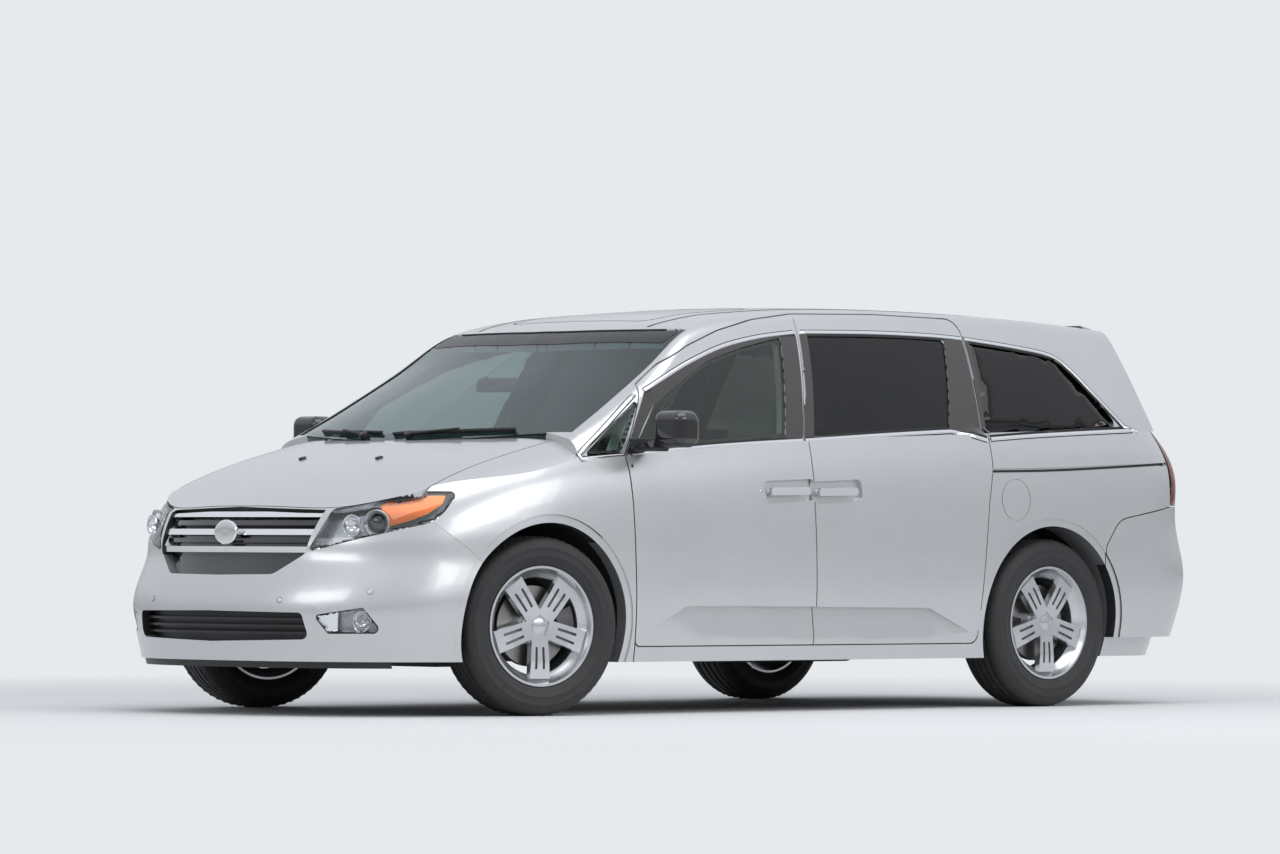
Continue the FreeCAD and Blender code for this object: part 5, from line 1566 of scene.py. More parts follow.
@dataclass
class Face:
    """The grille, the lower intake, the dark lip below the nose and the small parts of the nose."""

    bar_heights: tuple[Point, ...] = ((0.8055, 0.8285), (0.7325, 0.7575), (0.6615, 0.6865))
    foot_z: float = 0.240
    lip_z: float = 0.196
    lip_inset: float = 0.020
    lip_lean: float = 0.35
    lip_spots: tuple[float, ...] = (0.0, 0.20, 0.40, 0.55, 0.68, 0.76)
    sensor_spots: tuple[Point, ...] = ((0.395, 0.470), (0.735, 0.505))
    sensor_radius: float = 0.011
    nozzle_spot: Point = (1.86, 0.24)
    nozzle_size: Spot = (0.030, 0.022, 0.010)
    disc_radius: float = 0.070
    disc_z: float = 0.744
    disc_flatness: float = 0.72

    def build(self, bodywork: Bodywork) -> None:
        """Build the nose's parts.

        Args:
            bodywork: The panels that carry them.
        """
        bumper = bodywork.skin("front_bumper")
        self.grille()
        self.lip(bumper)
        self.sensors(bumper)
        self.nozzles(bodywork.skin("hood"))

    def grille(self) -> None:
        """The upper grille with its bright bars and its blank disc, and the dark lower one."""
        grille = cleaned("upper_grille", "grille", "body", "bright_trim", 30.0)
        points = grille.data.vertices

        def choose(polygon: Polygon) -> int:
            """Bright bars, and near-black louvres and panel behind them.

            Args:
                polygon: A face.

            Returns:
                0 for the bars, 1 for what lies behind.
            """
            heights = [points[index].co.z for index in polygon.vertices]
            bright = any(low <= min(heights) and max(heights) <= high for low, high in self.bar_heights)
            return int(not bright)
        dress_by(grille, (Look.CHROME, Look.GLOSS_BLACK), choose)
        cleaned("lower_grille", "intake", "body", "black_plastic", 30.0, Look.BLACK_TRIM)
        self.blank_disc(Skin([grille]))

    def blank_disc(self, skin: Skin) -> None:
        """A plain bright disc in the middle of the grille, with nothing on it.

        Args:
            skin: The grille's skin.
        """
        half = self.disc_radius
        point, _ = skin.nose(0.0, self.disc_z)
        disc = turned([(AXIS, 0.0), (half, 0.0), (half, 0.006), (half * 0.93, 0.010), (half * 0.85, 0.009),
                       (AXIS, 0.011)], 64)
        disc.scale = (1.0, 1.0, self.disc_flatness)
        settle(disc)
        aimed(disc, (point.x - 0.002, 0.0, self.disc_z), (1.0, 0.0, 0.02))
        place(smooth(disc, 35.0), "grille_badge_blank", "body", Look.CHROME, "bright_trim")

    def lip(self, skin: Skin) -> None:
        """The dark lip under the nose, set back from the bumper's foot.

        Args:
            skin: The bumper's skin.
        """
        def below(y: float, z: float) -> tuple[Vector, Vector]:
            """A point of the lip, which leans back as it goes down."""
            point, _ = skin.nose(y, self.foot_z)
            return Vector((point.x - self.lip_inset - (self.foot_z - z) * self.lip_lean, y, z)), AHEAD

        edges = [[(y, z) for y in self.lip_spots] for z in (self.lip_z, self.foot_z)]
        dam = patch("air_dam", edges, below, 0.0, 0.003, 48, 3)
        both_sides(dam, "air_dam", Look.BLACK_TRIM, "black_plastic")

    def sensors(self, skin: Skin) -> None:
        """Round parking sensors set in the bumper.

        Args:
            skin: The bumper's skin.
        """
        r = self.sensor_radius
        disc = [(AXIS, -0.002), (r, -0.002), (r, 0.0008), (r * 0.86, 0.0016), (AXIS, 0.0016)]
        ring = [(r * 0.98, -0.002), (r * 1.14, -0.002), (r * 1.14, 0.0005), (r * 0.98, 0.0005)]
        for count, (y, z) in enumerate(self.sensor_spots):
            stand = skin.nose(y, z)
            turned_pair(f"parking_sensor_{count}", disc, 32, stand, Look.PAINT, "body_paint")
            turned_pair(f"sensor_gap_{count}", ring, 32, stand, Look.SEAL, "black_plastic", degrees=None)

    def nozzles(self, skin: Skin) -> None:
        """The washer nozzles on the hood.

        Args:
            skin: The hood's skin.
        """
        point, normal = skin.over(*self.nozzle_spot)
        body = block((0, 0, 0), self.nozzle_size, 0.004)
        body.rotation_mode = "QUATERNION"
        body.rotation_quaternion = UP.rotation_difference(normal)
        body.location = point + normal * 0.003
        both_sides(smooth(settle(body)), "washer_nozzle", Look.BLACK_TRIM, "black_plastic", ("hood", "hood"))


@dataclass
class Mirrors:
    """The door mirrors: gloss shell, matt foot, glass, and the amber lamp on the outboard edge."""

    foot_y: float = 1.032
    underside_z: float = 1.118
    glass_centre: Point = (1.132, 1.176)
    glass_half: Point = (0.075, 0.062)
    lamp_z: Point = (1.122, 1.205)
    lamp_x: tuple[Spot, Spot] = ((0.966, 0.964, 0.966), (0.983, 0.986, 0.982))
    lamp_taper: float = 0.006

    def build(self) -> None:
        """Build both mirrors."""
        for side in ("left", "right"):
            mirror = cleaned(f"mirror_{side}", f"door_mirror_{side}", f"front_door_{side}", "body_paint",
                             32.0, even=True)
            dress_by(mirror, (Look.GLOSS_BLACK, Look.BLACK_TRIM), self.choose)
        shell = Skin([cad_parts["mirror_left"]])
        self.glass(shell)
        self.lamp(shell)

    def choose(self, polygon: Polygon) -> int:
        """Gloss on the shell, matt on the foot and round the glass.

        Args:
            polygon: A face.

        Returns:
            0 for gloss, 1 for matt.
        """
        if abs(polygon.center.y) < self.foot_y or polygon.normal.x < -0.55:
            return 1
        return 1 if polygon.center.z < self.underside_z and polygon.normal.z < -0.4 else 0

    def glass(self, shell: Skin) -> None:
        """The mirror glass.

        Args:
            shell: The left mirror's skin.
        """
        y, z = self.glass_centre
        half_y, half_z = self.glass_half
        lines = ([(y - half_y, z - half_z * 0.8), (y, z - half_z), (y + half_y, z - half_z * 0.7)],
                 [(y - half_y, z + half_z * 0.8), (y, z + half_z), (y + half_y, z + half_z * 0.7)])
        plate = patch("mirror_glass", lines, lambda u, v: shell.hit(Vector((0.5, u, v)), AHEAD), 0.0005,
                      0.0012, 14, 8)
        both_sides(plate, "mirror_glass", Look.REFLECTOR, "bright_trim", DOORS)

    def lamp(self, shell: Skin) -> None:
        """The amber lamp at the outboard edge.

        Args:
            shell: The left mirror's skin.
        """
        low, high = self.lamp_z
        middle = (low + high) / 2
        lines = [list(zip(spots, (low + taper, middle, high - taper)))
                 for spots, taper in zip(self.lamp_x, (0.0, self.lamp_taper))]
        bar = patch("mirror_lamp", lines, shell.side, 0.0001, 0.0008, 16, 4)
        both_sides(bar, "mirror_lamp", Look.AMBER, "lamp_lens", DOORS)


@dataclass
class Roof:
    """The moonroof's outline and the strips in the roof's ditches."""

    opening_x: Point = (-0.10, 0.52)
    half_width: float = 0.43
    corner: float = 0.07
    ditch: tuple[Point, ...] = ((-1.98, 0.515), (-1.0, 0.545), (0.0, 0.545), (0.60, 0.525))

    def build(self, bodywork: Bodywork) -> None:
        """Lay the roof's lines.

        Args:
            bodywork: The panels that carry them.
        """
        skin = bodywork.skin("roof")
        back, ahead = self.opening_x
        half, corner = self.half_width, self.corner
        turns = [math.pi / 2 * k / 6 for k in range(7)]
        arc = [(ahead - corner + corner * math.sin(a), half - corner + corner * math.cos(a)) for a in turns]
        rear = [(back + corner - corner * math.sin(a), half - corner + corner * math.cos(a))
                for a in reversed(turns)]
        line = [(back, 0.0), (back, half - corner)] + rear[1:] + arc + [(ahead, 0.0)]
        joint = strip("moonroof_joint", line, skin.over, 0.007, 0.0006, 140)
        both_sides(joint, "moonroof_joint", Look.SEAL, "black_plastic")
        ditch = strip("roof_ditch", self.ditch, skin.over, 0.014, 0.0012, 80)
        both_sides(ditch, "roof_ditch", Look.SEAL, "black_plastic")


@dataclass(frozen=True)
class Sweep:
    """One wiper: its pivot, where its arm holds the blade, and the blade's ends, in its glass's own axes."""

    name: str
    foot: Point
    elbow: Point
    tips: tuple[Point, Point]


@dataclass
class Wipers:
    """The windshield's and the tailgate's wipers and the cowl under the glass."""

    arm_width: float = 0.016
    blade_height: float = 0.013
    front: tuple[Sweep, ...] = (
        Sweep("wiper_left", (1.502, 0.03), (1.462, 0.30), ((1.412, 0.585), (1.489, -0.08))),
        Sweep("wiper_right", (1.494, -0.26), (1.445, -0.44), ((1.475, -0.17), (1.398, -0.63))))
    rear: Sweep = Sweep("tail_wiper", (0.0, 1.250), (0.20, 1.290), ((0.03, 1.292), (0.40, 1.288)))

    def wiper(self, sweep: Sweep, probe: Probe, body: str) -> None:
        """One wiper: a pivot, a tapered arm and a blade that lies on the glass.

        Args:
            sweep: Where it lies.
            probe: The glass's probe.
            body: The body that carries it.
        """
        line = [sweep.tips[0], sweep.elbow, sweep.tips[1]]
        height = self.blade_height
        blade = strip(sweep.name, line, probe, 0.008, height, 40, 0.0005)
        back = strip(sweep.name, line, probe, 0.015, height + 0.004, 40, -height + 0.002)
        low, _ = probe(*sweep.foot)
        high, normal = probe(*sweep.elbow)
        arm = rod(low + normal * 0.016, high + normal * (height + 0.007), self.arm_width / 2, 12,
                  self.arm_width / 3.2)
        boss = rod(low - normal * 0.004, low + normal * 0.024, 0.019, 28)
        bevel(boss, 0.003)
        whole = joined([blade, back, arm, boss], sweep.name)
        place(smooth(whole, 40.0), sweep.name, body, Look.BLACK_TRIM, "black_plastic")

    def build(self) -> None:
        """Build the wipers and the cowl."""
        cleaned("cowl", "cowl_panel", "body", "black_plastic", 30.0, Look.BLACK_TRIM)
        glass = Skin([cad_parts["windshield"]])
        for sweep in self.front:
            self.wiper(sweep, glass.over, "body")
        self.wiper(self.rear, Skin([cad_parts["tailgate_glass"]]).tail, "tailgate")


@dataclass
class SideParts:
    """Handles, key locks and slide tracks on the sides."""

    handles: dict[str, str] = field(default_factory=lambda: {
        "front_handle_left": "front_door_left", "front_handle_right": "front_door_right",
        "sliding_handles": "body"})
    track_line: tuple[Point, ...] = ((-1.046, 1.024), (-1.500, 1.035), (-2.205, 1.069))
    lock_spot: Point = (0.392, 0.925)
    lock_profile: tuple[Point, ...] = ((AXIS, -0.002), (0.008, -0.002), (0.008, 0.001), (0.0065, 0.0018),
                                       (AXIS, 0.0016))

    def build(self, bodywork: Bodywork) -> None:
        """Build the side's small parts.

        Args:
            bodywork: The panels that carry them.
        """
        side, front = bodywork.skin("body_side_left"), bodywork.skin("front_door_left")
        for node, body in self.handles.items():
            cleaned(node, node + "_bright", body, "bright_trim", 40.0, Look.CHROME, True)
        track = strip("slide_track", self.track_line, side.side, 0.010, 0.0022, 60)
        both_sides(track, "slide_track", Look.BLACK_TRIM, "black_plastic")
        turned_pair("key_lock", self.lock_profile, 28, front.side(*self.lock_spot), Look.SATIN_CHROME,
                    "bright_trim", DOORS)


@dataclass
class TailEnd:
    """The tailgate's trim: plate lamp bar, blank plate and high brake lamp, and the rear reflectors."""

    bar_line: tuple[Point, ...] = ((-0.30, 0.972), (0.0, 0.976), (0.30, 0.972))
    plate_half: float = 0.155
    plate_z: Point = (0.835, 0.945)
    plate_wall: float = 0.003
    brake_line: tuple[Point, ...] = ((-0.16, 1.622), (0.0, 1.624), (0.16, 1.622))
    reflector_line: tuple[Point, ...] = ((0.690, 0.470), (0.780, 0.474))

    def build(self, bodywork: Bodywork) -> None:
        """Build the tail's parts.

        Args:
            bodywork: The panels that carry them.
        """
        gate, bumper = bodywork.skin("tailgate"), bodywork.skin("rear_bumper")
        bar = strip("plate_lamp_bar", self.bar_line, gate.tail, 0.030, 0.012, 40)
        place(bar, "plate_lamp_bar", "tailgate", Look.CHROME, "bright_trim")
        half, (low, high) = self.plate_half, self.plate_z
        plate = slab_of([(-half, low), (half, low), (half, high), (-half, high)], 0.0, self.plate_wall, "X")
        point, _ = gate.tail(0.0, (low + high) / 2)
        plate.location = (point.x - 0.004, 0.0, 0.0)
        place(bevel(settle(plate), 0.001), "plate_blank", "tailgate", Look.REFLECTOR, "bright_trim")
        brake = strip("high_brake_lamp", self.brake_line, gate.tail, 0.018, 0.004, 24)
        place(brake, "high_brake_lamp", "tailgate", Look.RED, "tail_lens")
        reflector = strip("rear_reflector", self.reflector_line, bumper.tail, 0.032, 0.004, 16)
        both_sides(reflector, "rear_reflector", Look.RED, "tail_lens")


@dataclass
class Wheels:
    """The alloy wheels and the tyres, shaped at the origin and moved to their places."""

    tyre_radius: float = 0.3660
    ribs: int = 64
    nut_circle: float = 0.057
    nut_count: int = 5
    nut_y: Point = (0.046, 0.066)
    nut_radii: Point = (0.0105, 0.0098)
    cap_profile: tuple[Point, ...] = ((AXIS, 0.070), (0.031, 0.070), (0.033, 0.076), (0.031, 0.080),
                                      (0.020, 0.083), (AXIS, 0.084))
    sidewall: tuple[Point, ...] = (
        (0.2475, 0.090), (0.2495, 0.101), (0.256, 0.106), (0.270, 0.111), (0.285, 0.1155), (0.287, 0.1170),
        (0.291, 0.1170), (0.293, 0.1163), (0.305, 0.1170), (0.318, 0.1160), (0.320, 0.1168), (0.323, 0.1163),
        (0.325, 0.1146), (0.338, 0.1105), (0.349, 0.1035), (0.357, 0.0945))
    tread: tuple[Point, ...] = (
        (0.0040, 0.0840), (0.0026, 0.0760), (0.0020, 0.0600), (0.0105, 0.0590), (0.0105, 0.0500),
        (0.0012, 0.0490), (0.0006, 0.0215), (0.0095, 0.0205), (0.0095, 0.0115), (0.0, 0.0105))
    bead: tuple[Point, ...] = ((0.2440, -0.085), (0.2440, 0.085))
    tread_block: Spot = (0.0125, 0.0190, 0.0034)
    block_y: float = 0.0700
    block_lean: float = 0.16
    disc_zone: Point = (0.024, 0.168)
    slot_zone: Spot = (0.080, 0.186, 0.074)
    corners: tuple[str, ...] = ("front_left", "front_right", "rear_left", "rear_right")

    def matrix(self, corner: str) -> Matrix:
        """Where a wheel stands, from a wheel at the origin that faces left.

        Args:
            corner: The wheel's corner of the van.

        Returns:
            Its place, turn and mirroring.
        """
        side = 1.0 if corner.endswith("left") else -1.0
        if corner.startswith("rear"):
            spot, turn = (REAR_AXLE_X, side * WHEEL_Y, HUB_HEIGHT), Matrix.Identity(4)
        else:
            reach = WHEEL_Y - KINGPIN_Y
            spot = (FRONT_AXLE_X + side * reach * math.sin(STEER_AT_REST),
                    side * (KINGPIN_Y + reach * math.cos(STEER_AT_REST)), HUB_HEIGHT)
            turn = Matrix.Rotation(-STEER_AT_REST, 4, "Z")
        return Matrix.Translation(spot) @ turn @ Matrix.Diagonal((1, side, 1, 1))

    def stand(self, piece: Thing, corner: str, name: str, look: Look, slot: str,
              degrees: Optional[float] = None, nodes: Sequence[str] = ()) -> None:
        """Move a piece that was shaped at the origin to its corner, and let it ride on its wheel.

        Args:
            piece: The object.
            corner: The wheel's corner of the van.
            name: What its name begins with.
            look: Its finish.
            slot: The record's slot.
            degrees: The angle of its smooth shading, or None for flat faces.
            nodes: The solids that it stands for.
        """
        piece.matrix_world = self.matrix(corner)
        outward(settle(piece))
        if degrees is not None:
            smooth(piece, degrees)
        place(piece, f"{name}_{corner}", f"wheel_{corner}", look, slot, nodes=nodes)

    def rim(self, corner: str) -> None:
        """One rim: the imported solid, cleaned, with bright faces, dark slots and its brake disc.

        Args:
            corner: The wheel's corner of the van.
        """
        wheel = f"wheel_{corner}"
        rim = cleaned(wheel, f"rim_{corner}", wheel, "wheel_alloy", 28.0)
        back = self.matrix(corner).inverted()
        turn = back.to_3x3()
        disc_y, disc_radius = self.disc_zone
        slot_low, slot_high, slot_y = self.slot_zone

        def choose(polygon: Polygon) -> int:
            """Machined outer faces, darker floors and flanks, iron for the brake disc.

            Args:
                polygon: A face.

            Returns:
                0 for machined, 1 for dark, 2 for iron.
            """
            spot = back @ polygon.center
            facing = turn @ polygon.normal
            reach = math.hypot(spot.x, spot.z)
            if spot.y < disc_y and reach < disc_radius:
                return 2
            if slot_low < reach < slot_high and spot.y < slot_y and facing.y > 0.3:
                return 1
            return 0 if facing.y > -0.2 or reach > 0.2 else 1
        dress_by(rim, (Look.ALLOY, Look.ALLOY_DARK, Look.IRON), choose)

    def nuts(self, corner: str) -> None:
        """The nuts in their wells and a plain cap.

        Args:
            corner: The wheel's corner of the van.
        """
        parts = []
        for count in range(self.nut_count):
            a = math.pi / 2 + math.tau * count / self.nut_count
            spot = Vector((self.nut_circle * math.cos(a), 0.0, self.nut_circle * math.sin(a)))
            nut = rod(spot + LEFT * self.nut_y[0], spot + LEFT * self.nut_y[1], self.nut_radii[0], 6,
                      self.nut_radii[1])
            parts.append(bevel(nut, 0.0014, 2))
        self.stand(joined(parts, "nuts"), corner, "nuts", Look.NUT, "wheel_alloy")
        self.stand(turned(self.cap_profile, 48), corner, "cap", Look.SATIN_CHROME, "wheel_alloy", 30.0)

    def tyre(self, corner: str) -> None:
        """One tyre with circular grooves, and with blocks on its tread's shoulders.

        Args:
            corner: The wheel's corner of the van.
        """
        outer = list(self.sidewall) + [(self.tyre_radius - depth, y) for depth, y in self.tread]
        profile = outer + [(a, -b) for a, b in reversed(outer)] + list(self.bead)
        self.stand(turned(profile, 180), corner, "tyre_body", Look.TYRE, "tyre_rubber", 34.0,
                   [f"tyre_{corner}"])
        parts = []
        for sign in (1, -1):
            piece = block((0.0, sign * self.block_y, self.tyre_radius - 0.0020), self.tread_block, 0.0006, 1)
            piece.rotation_euler = (0.0, 0.0, sign * self.block_lean)
            activate(piece)
            bpy.ops.object.transform_apply(rotation=True, location=False, scale=False)
            with editing(piece):
                bpy.ops.mesh.spin(steps=self.ribs - 1, angle=math.tau * (self.ribs - 1) / self.ribs,
                                  dupli=True, center=(0, 0, 0), axis=(0, 1, 0))
            parts.append(piece)
        self.stand(joined(parts, "tread"), corner, "tread", Look.TYRE, "tyre_rubber")

    def build(self) -> None:
        """Build all four wheels."""
        for corner in self.corners:
            self.rim(corner)
            self.nuts(corner)
            self.tyre(corner)


@dataclass
class Seat:
    """Where one seat stands and how it is shaped."""

    name: str
    x: float
    y: float
    width: float
    base: float
    lean: float
    seams: tuple[float, ...] = (-0.42, 0.42)
    heads: tuple[float, ...] = (0.0,)


@dataclass
class Cabin:
    """The seats, the dashboard's finish and the inside mirror, which show through the glass."""

    seats: tuple[Seat, ...] = (
        Seat("driver_seat", 0.560, 0.390, 0.500, 0.3263, 18.0),
        Seat("passenger_seat", 0.560, -0.390, 0.500, 0.3263, 18.0),
        Seat("second_row_left", -0.330, 0.400, 0.480, 0.3263, 18.0),
        Seat("second_row_right", -0.330, -0.400, 0.480, 0.3263, 18.0),
        Seat("third_row", -1.210, 0.0, 1.120, 0.3683, 14.0, (-0.34, 0.34), (-0.36, 0.36)))
    back_offset: float = 0.520
    hinge_height: float = 0.220
    cushion_spot: Point = (0.255, 0.222)
    cushion_size: Point = (0.53, 0.15)
    back_height: float = 0.50
    back_size: Point = (0.125, 0.62)
    head_height: float = 0.940
    head_size: Spot = (0.095, 0.255, 0.175)
    fill_share: float = 0.5
    mirror_size: Spot = (0.028, 0.235, 0.062)

    def stuffed(self, part: Thing, name: str) -> None:
        """Place a padded part.

        Args:
            part: The object.
            name: Its name.
        """
        place(part, name, "body", Look.LEATHER, "seat_leather")

    def seat(self, seat: Seat) -> None:
        """One seat: cushion, back and head rests.

        Args:
            seat: The seat.
        """
        x, y, base, width = seat.x, seat.y, seat.base, seat.width
        behind = x - self.back_offset
        pivot = (behind, y, base + self.hinge_height)
        cushion = pad(seat.name + "_cushion", (x - self.cushion_spot[0], y, base + self.cushion_spot[1]),
                      (self.cushion_size[0], width - 0.006, self.cushion_size[1]), 0.018, seat.seams, 0.014)
        back = pad(seat.name + "_back", (behind, y, base + self.back_height),
                   (self.back_size[0], width - 0.016, self.back_size[1]), 0.016, seat.seams, 0.012, seat.lean,
                   pivot, "X")
        self.stuffed(cushion, seat.name + "_cushion")
        self.stuffed(back, seat.name + "_back")
        for count, head in enumerate(seat.heads):
            name = f"{seat.name}_head_{count}"
            rest = pad(name, (behind, y + head, base + self.head_height), self.head_size, 0.008, (), 0.0,
                       seat.lean, (pivot[0], y + head, pivot[2]), "X")
            self.stuffed(rest, name)

    def build(self) -> None:
        """Build the cabin's parts."""
        for node in ("front_seats", "rear_seats"):
            dress(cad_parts[node], Look.LEATHER)
        dress(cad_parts["dashboard"], Look.DASH)
        for seat in self.seats:
            self.seat(seat)
        self.room_mirror()

    def room_mirror(self) -> None:
        """The mirror inside the windshield."""
        glass = Skin([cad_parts["windshield"]])
        point, _ = glass.hit(Vector((0.72, 0.0, 1.20)), (AHEAD + UP * 0.6).normalized())
        head = block((0, 0, 0), self.mirror_size, 0.012)
        head.rotation_euler = (0.0, math.radians(-12.0), 0.0)
        head.location = point - Vector((0.075, 0.0, 0.030))
        settle(head)
        stalk = rod(point - Vector((0.010, 0.0, 0.004)), point - Vector((0.070, 0.0, 0.026)), 0.010, 16)
        place(smooth(joined([head, stalk], "room_mirror")), "room_mirror", "body", Look.DASH, "interior")


@dataclass
class Below:
    """The finishes of the solids that are carried over as they are."""

    looks: dict[str, Look] = field(default_factory=lambda: {
        "fuel_tank": Look.TANK, "exhaust": Look.EXHAUST, "front_suspension": Look.STEEL,
        "rear_suspension": Look.STEEL, "knuckle_left": Look.CASTING, "knuckle_right": Look.CASTING,
        "engine": Look.ENGINE})
    floor_top: float = 0.30
    floor_half_width: float = 0.80
    floor_x: Point = (-2.2, 1.20)

    def build(self) -> None:
        """Give every remaining solid its finish."""
        for node, look in self.looks.items():
            dress(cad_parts[node], look)
        for node, name in (("underbody", "structure"), ("floor_pan", "floor_shell")):
            shell = cleaned(node, name, "body", "underbody_steel", 30.0)
            dress_by(shell, (Look.UNDERSIDE, Look.CARPET), self.choose)

    def choose(self, polygon: Polygon) -> int:
        """Carpet on the cabin floor, the dark coat everywhere else.

        Args:
            polygon: A face.

        Returns:
            1 for carpet, 0 for the coat.
        """
        spot = polygon.center
        back, front = self.floor_x
        inside = abs(spot.y) < self.floor_half_width and back < spot.x < front and spot.z > self.floor_top
        return int(inside and polygon.normal.z > 0.5)


@dataclass
class Studio:
    """The plain pale floor and wall, the soft lamps, and the camera at the photograph's angle."""

    camera_place: Spot = (20.854, 21.541, 0.703)
    yaw: float = 3.9465
    pitch: float = 0.0169
    roll: float = 0.0044
    focal_px: float = 6915.9
    picture_width: int = 1280
    sensor: float = 36.0
    floor_colour: Colour = (0.66, 0.665, 0.67)
    fade_range: Point = (2.8, 7.5)
    wall_colour: Colour = (0.80, 0.82, 0.84)
    sky_stops: tuple[tuple[float, Colour], ...] = (
        (0.0, (0.30, 0.30, 0.31)), (0.49, (0.34, 0.345, 0.35)), (0.53, (0.62, 0.64, 0.66)),
        (0.62, (0.86, 0.90, 0.96)), (1.0, (0.95, 0.98, 1.05)))
    sky_strength: float = 0.78
    lamps: tuple[tuple[str, Spot, Spot, Point, float], ...] = (
        ("top lamp", (1.0, 3.0, 7.5), (0.0, 0.0, 0.8), (10.0, 6.0), 330.0),
        ("side lamp", (-1.0, 10.0, 4.6), (-0.5, 0.0, 0.9), (9.0, 3.0), 190.0),
        ("front lamp", (11.0, 1.0, 4.6), (1.5, 0.0, 0.8), (6.0, 3.0), 95.0))

    def camera(self) -> None:
        """Set the camera as the photograph's stood."""
        data = bpy.data.cameras.new("camera")
        data.sensor_width = self.sensor
        data.lens = self.focal_px / self.picture_width * self.sensor
        data.clip_end = 400.0
        camera = bpy.data.objects.new("camera", data)
        bpy.context.scene.collection.objects.link(camera)
        ahead = Vector((math.cos(self.pitch) * math.cos(self.yaw), math.cos(self.pitch) * math.sin(self.yaw),
                        math.sin(self.pitch)))
        side = ahead.cross(UP).normalized()
        over = side.cross(ahead)
        right = math.cos(self.roll) * side + math.sin(self.roll) * over
        above = -math.sin(self.roll) * side + math.cos(self.roll) * over
        turn = Matrix((right, above, -ahead)).transposed()
        camera.matrix_world = Matrix.Translation(self.camera_place) @ turn.to_4x4()
        bpy.context.scene.camera = camera

    def lamp(self, name: str, spot: Sequence[float], aim: Sequence[float], size: Point, power: float) -> None:
        """One soft rectangular lamp.

        Args:
            name: Its name.
            spot: Where it hangs.
            aim: What it points at.
            size: Its width and height.
            power: Its power in watts.
        """
        data = bpy.data.lights.new(name, "AREA")
        data.shape = "RECTANGLE"
        data.size, data.size_y = size
        data.energy = power
        light = bpy.data.objects.new(name, data)
        light.location = spot
        light.rotation_mode = "QUATERNION"
        light.rotation_quaternion = (Vector(aim) - Vector(spot)).to_track_quat("-Z", "Y")
        bpy.context.scene.collection.objects.link(light)

    def floor(self) -> None:
        """A plain pale floor under the van."""
        clear_selection()
        bpy.ops.mesh.primitive_circle_add(vertices=96, radius=60.0, fill_type="NGON")
        floor = bpy.context.object
        floor.name = "studio_floor"
        material, tree, shader = new_material("studio floor", self.floor_colour)
        shader.inputs["Base Color"].default_value = (*self.floor_colour, 1.0)
        shader.inputs["Roughness"].default_value = 0.75
        self.fade(tree, shader)
        floor.data.materials.append(material)

    def fade(self, tree: bpy.types.NodeTree, shader: bpy.types.Node) -> None:
        """Let the floor pass into the wall's colour away from the van, for the camera alone.

        Args:
            tree: The floor's node tree.
            shader: Its shader.
        """
        where = put(tree, "ShaderNodeTexCoord", (-900, -300))
        reach = put(tree, "ShaderNodeVectorMath", (-700, -300), operation="LENGTH")
        share = put(tree, "ShaderNodeMapRange", (-500, -300), interpolation_type="SMOOTHSTEP")
        share.inputs["From Min"].default_value, share.inputs["From Max"].default_value = self.fade_range
        path = put(tree, "ShaderNodeLightPath", (-500, -600))
        both = put(tree, "ShaderNodeMath", (-250, -400), operation="MULTIPLY")
        wall = put(tree, "ShaderNodeEmission", (0, -300), {"Color": (*self.wall_colour, 1.0)})
        mix = put(tree, "ShaderNodeMixShader", (300, 0))
        wire(tree, (where, "Object", reach, 0), (reach, "Value", share, "Value"), (share, "Result", both, 0),
             (path, "Is Camera Ray", both, 1), (both, "Value", mix, "Fac"), (shader, "BSDF", mix, 1),
             (wall, "Emission", mix, 2), (mix, "Shader", tree.nodes["Material Output"], "Surface"))

    def sky(self) -> None:
        """A pale surround: brighter overhead than at the horizon, so that paint shows its shape."""
        world = bpy.data.worlds.new("studio")
        bpy.context.scene.world = world
        world.use_nodes = True
        tree = world.node_tree
        tree.nodes.clear()
        where = put(tree, "ShaderNodeTexCoord", (-900, 0))
        axes = put(tree, "ShaderNodeSeparateXYZ", (-700, 0))
        ramp = put(tree, "ShaderNodeValToRGB", (-400, 0))
        while len(ramp.color_ramp.elements) < len(self.sky_stops):
            ramp.color_ramp.elements.new(0.5)
        for element, (spot, colour) in zip(ramp.color_ramp.elements, self.sky_stops):
            element.position = spot
            element.color = (*colour, 1.0)
        height = put(tree, "ShaderNodeMapRange", (-550, -200), {"From Min": -1.0})
        lit = put(tree, "ShaderNodeBackground", (0, 0), {"Strength": self.sky_strength})
        seen = put(tree, "ShaderNodeBackground", (0, -200), {"Color": (*self.wall_colour, 1.0)})
        path = put(tree, "ShaderNodeLightPath", (0, 300))
        mix = put(tree, "ShaderNodeMixShader", (300, 0))
        output = put(tree, "ShaderNodeOutputWorld", (600, 0))
        wire(tree, (where, "Generated", axes, 0), (axes, "Z", height, "Value"),
             (height, "Result", ramp, "Fac"), (ramp, "Color", lit, "Color"),
             (path, "Is Camera Ray", mix, "Fac"), (lit, "Background", mix, 1), (seen, "Background", mix, 2),
             (mix, "Shader", output, "Surface"))

    def build(self) -> None:
        """Set up the floor, the surround, the lamps and the camera."""
        scene = bpy.context.scene
        scene.view_settings.view_transform = "Standard"
        self.camera()
        self.floor()
        self.sky()
        for lamp in self.lamps:
            self.lamp(*lamp)


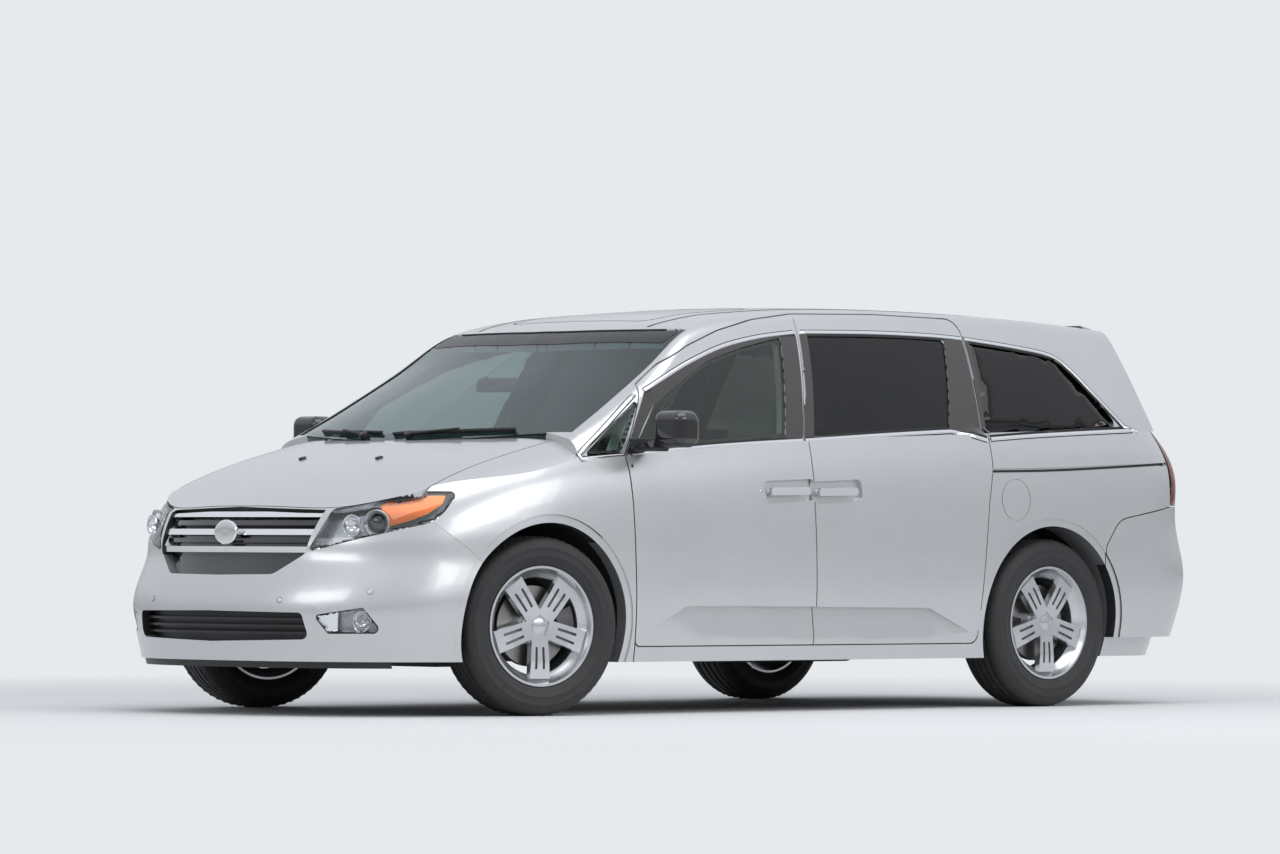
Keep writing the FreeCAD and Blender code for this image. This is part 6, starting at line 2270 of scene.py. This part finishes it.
def main() -> None:
    """Build the van's looks, sub-assembly by sub-assembly, and then the studio."""
    logging.basicConfig(level=logging.INFO, format="%(name)s %(message)s")
    bodywork = Bodywork()
    bodywork.build()
    Glazing().build(bodywork)
    BrightTrim().build(bodywork)
    Lamps().build()
    Face().build(bodywork)
    Mirrors().build()
    Roof().build(bodywork)
    Wipers().build()
    SideParts().build(bodywork)
    TailEnd().build(bodywork)
    Wheels().build()
    Cabin().build()
    Below().build()
    Studio().build()


if __name__ == "__main__":
    main()
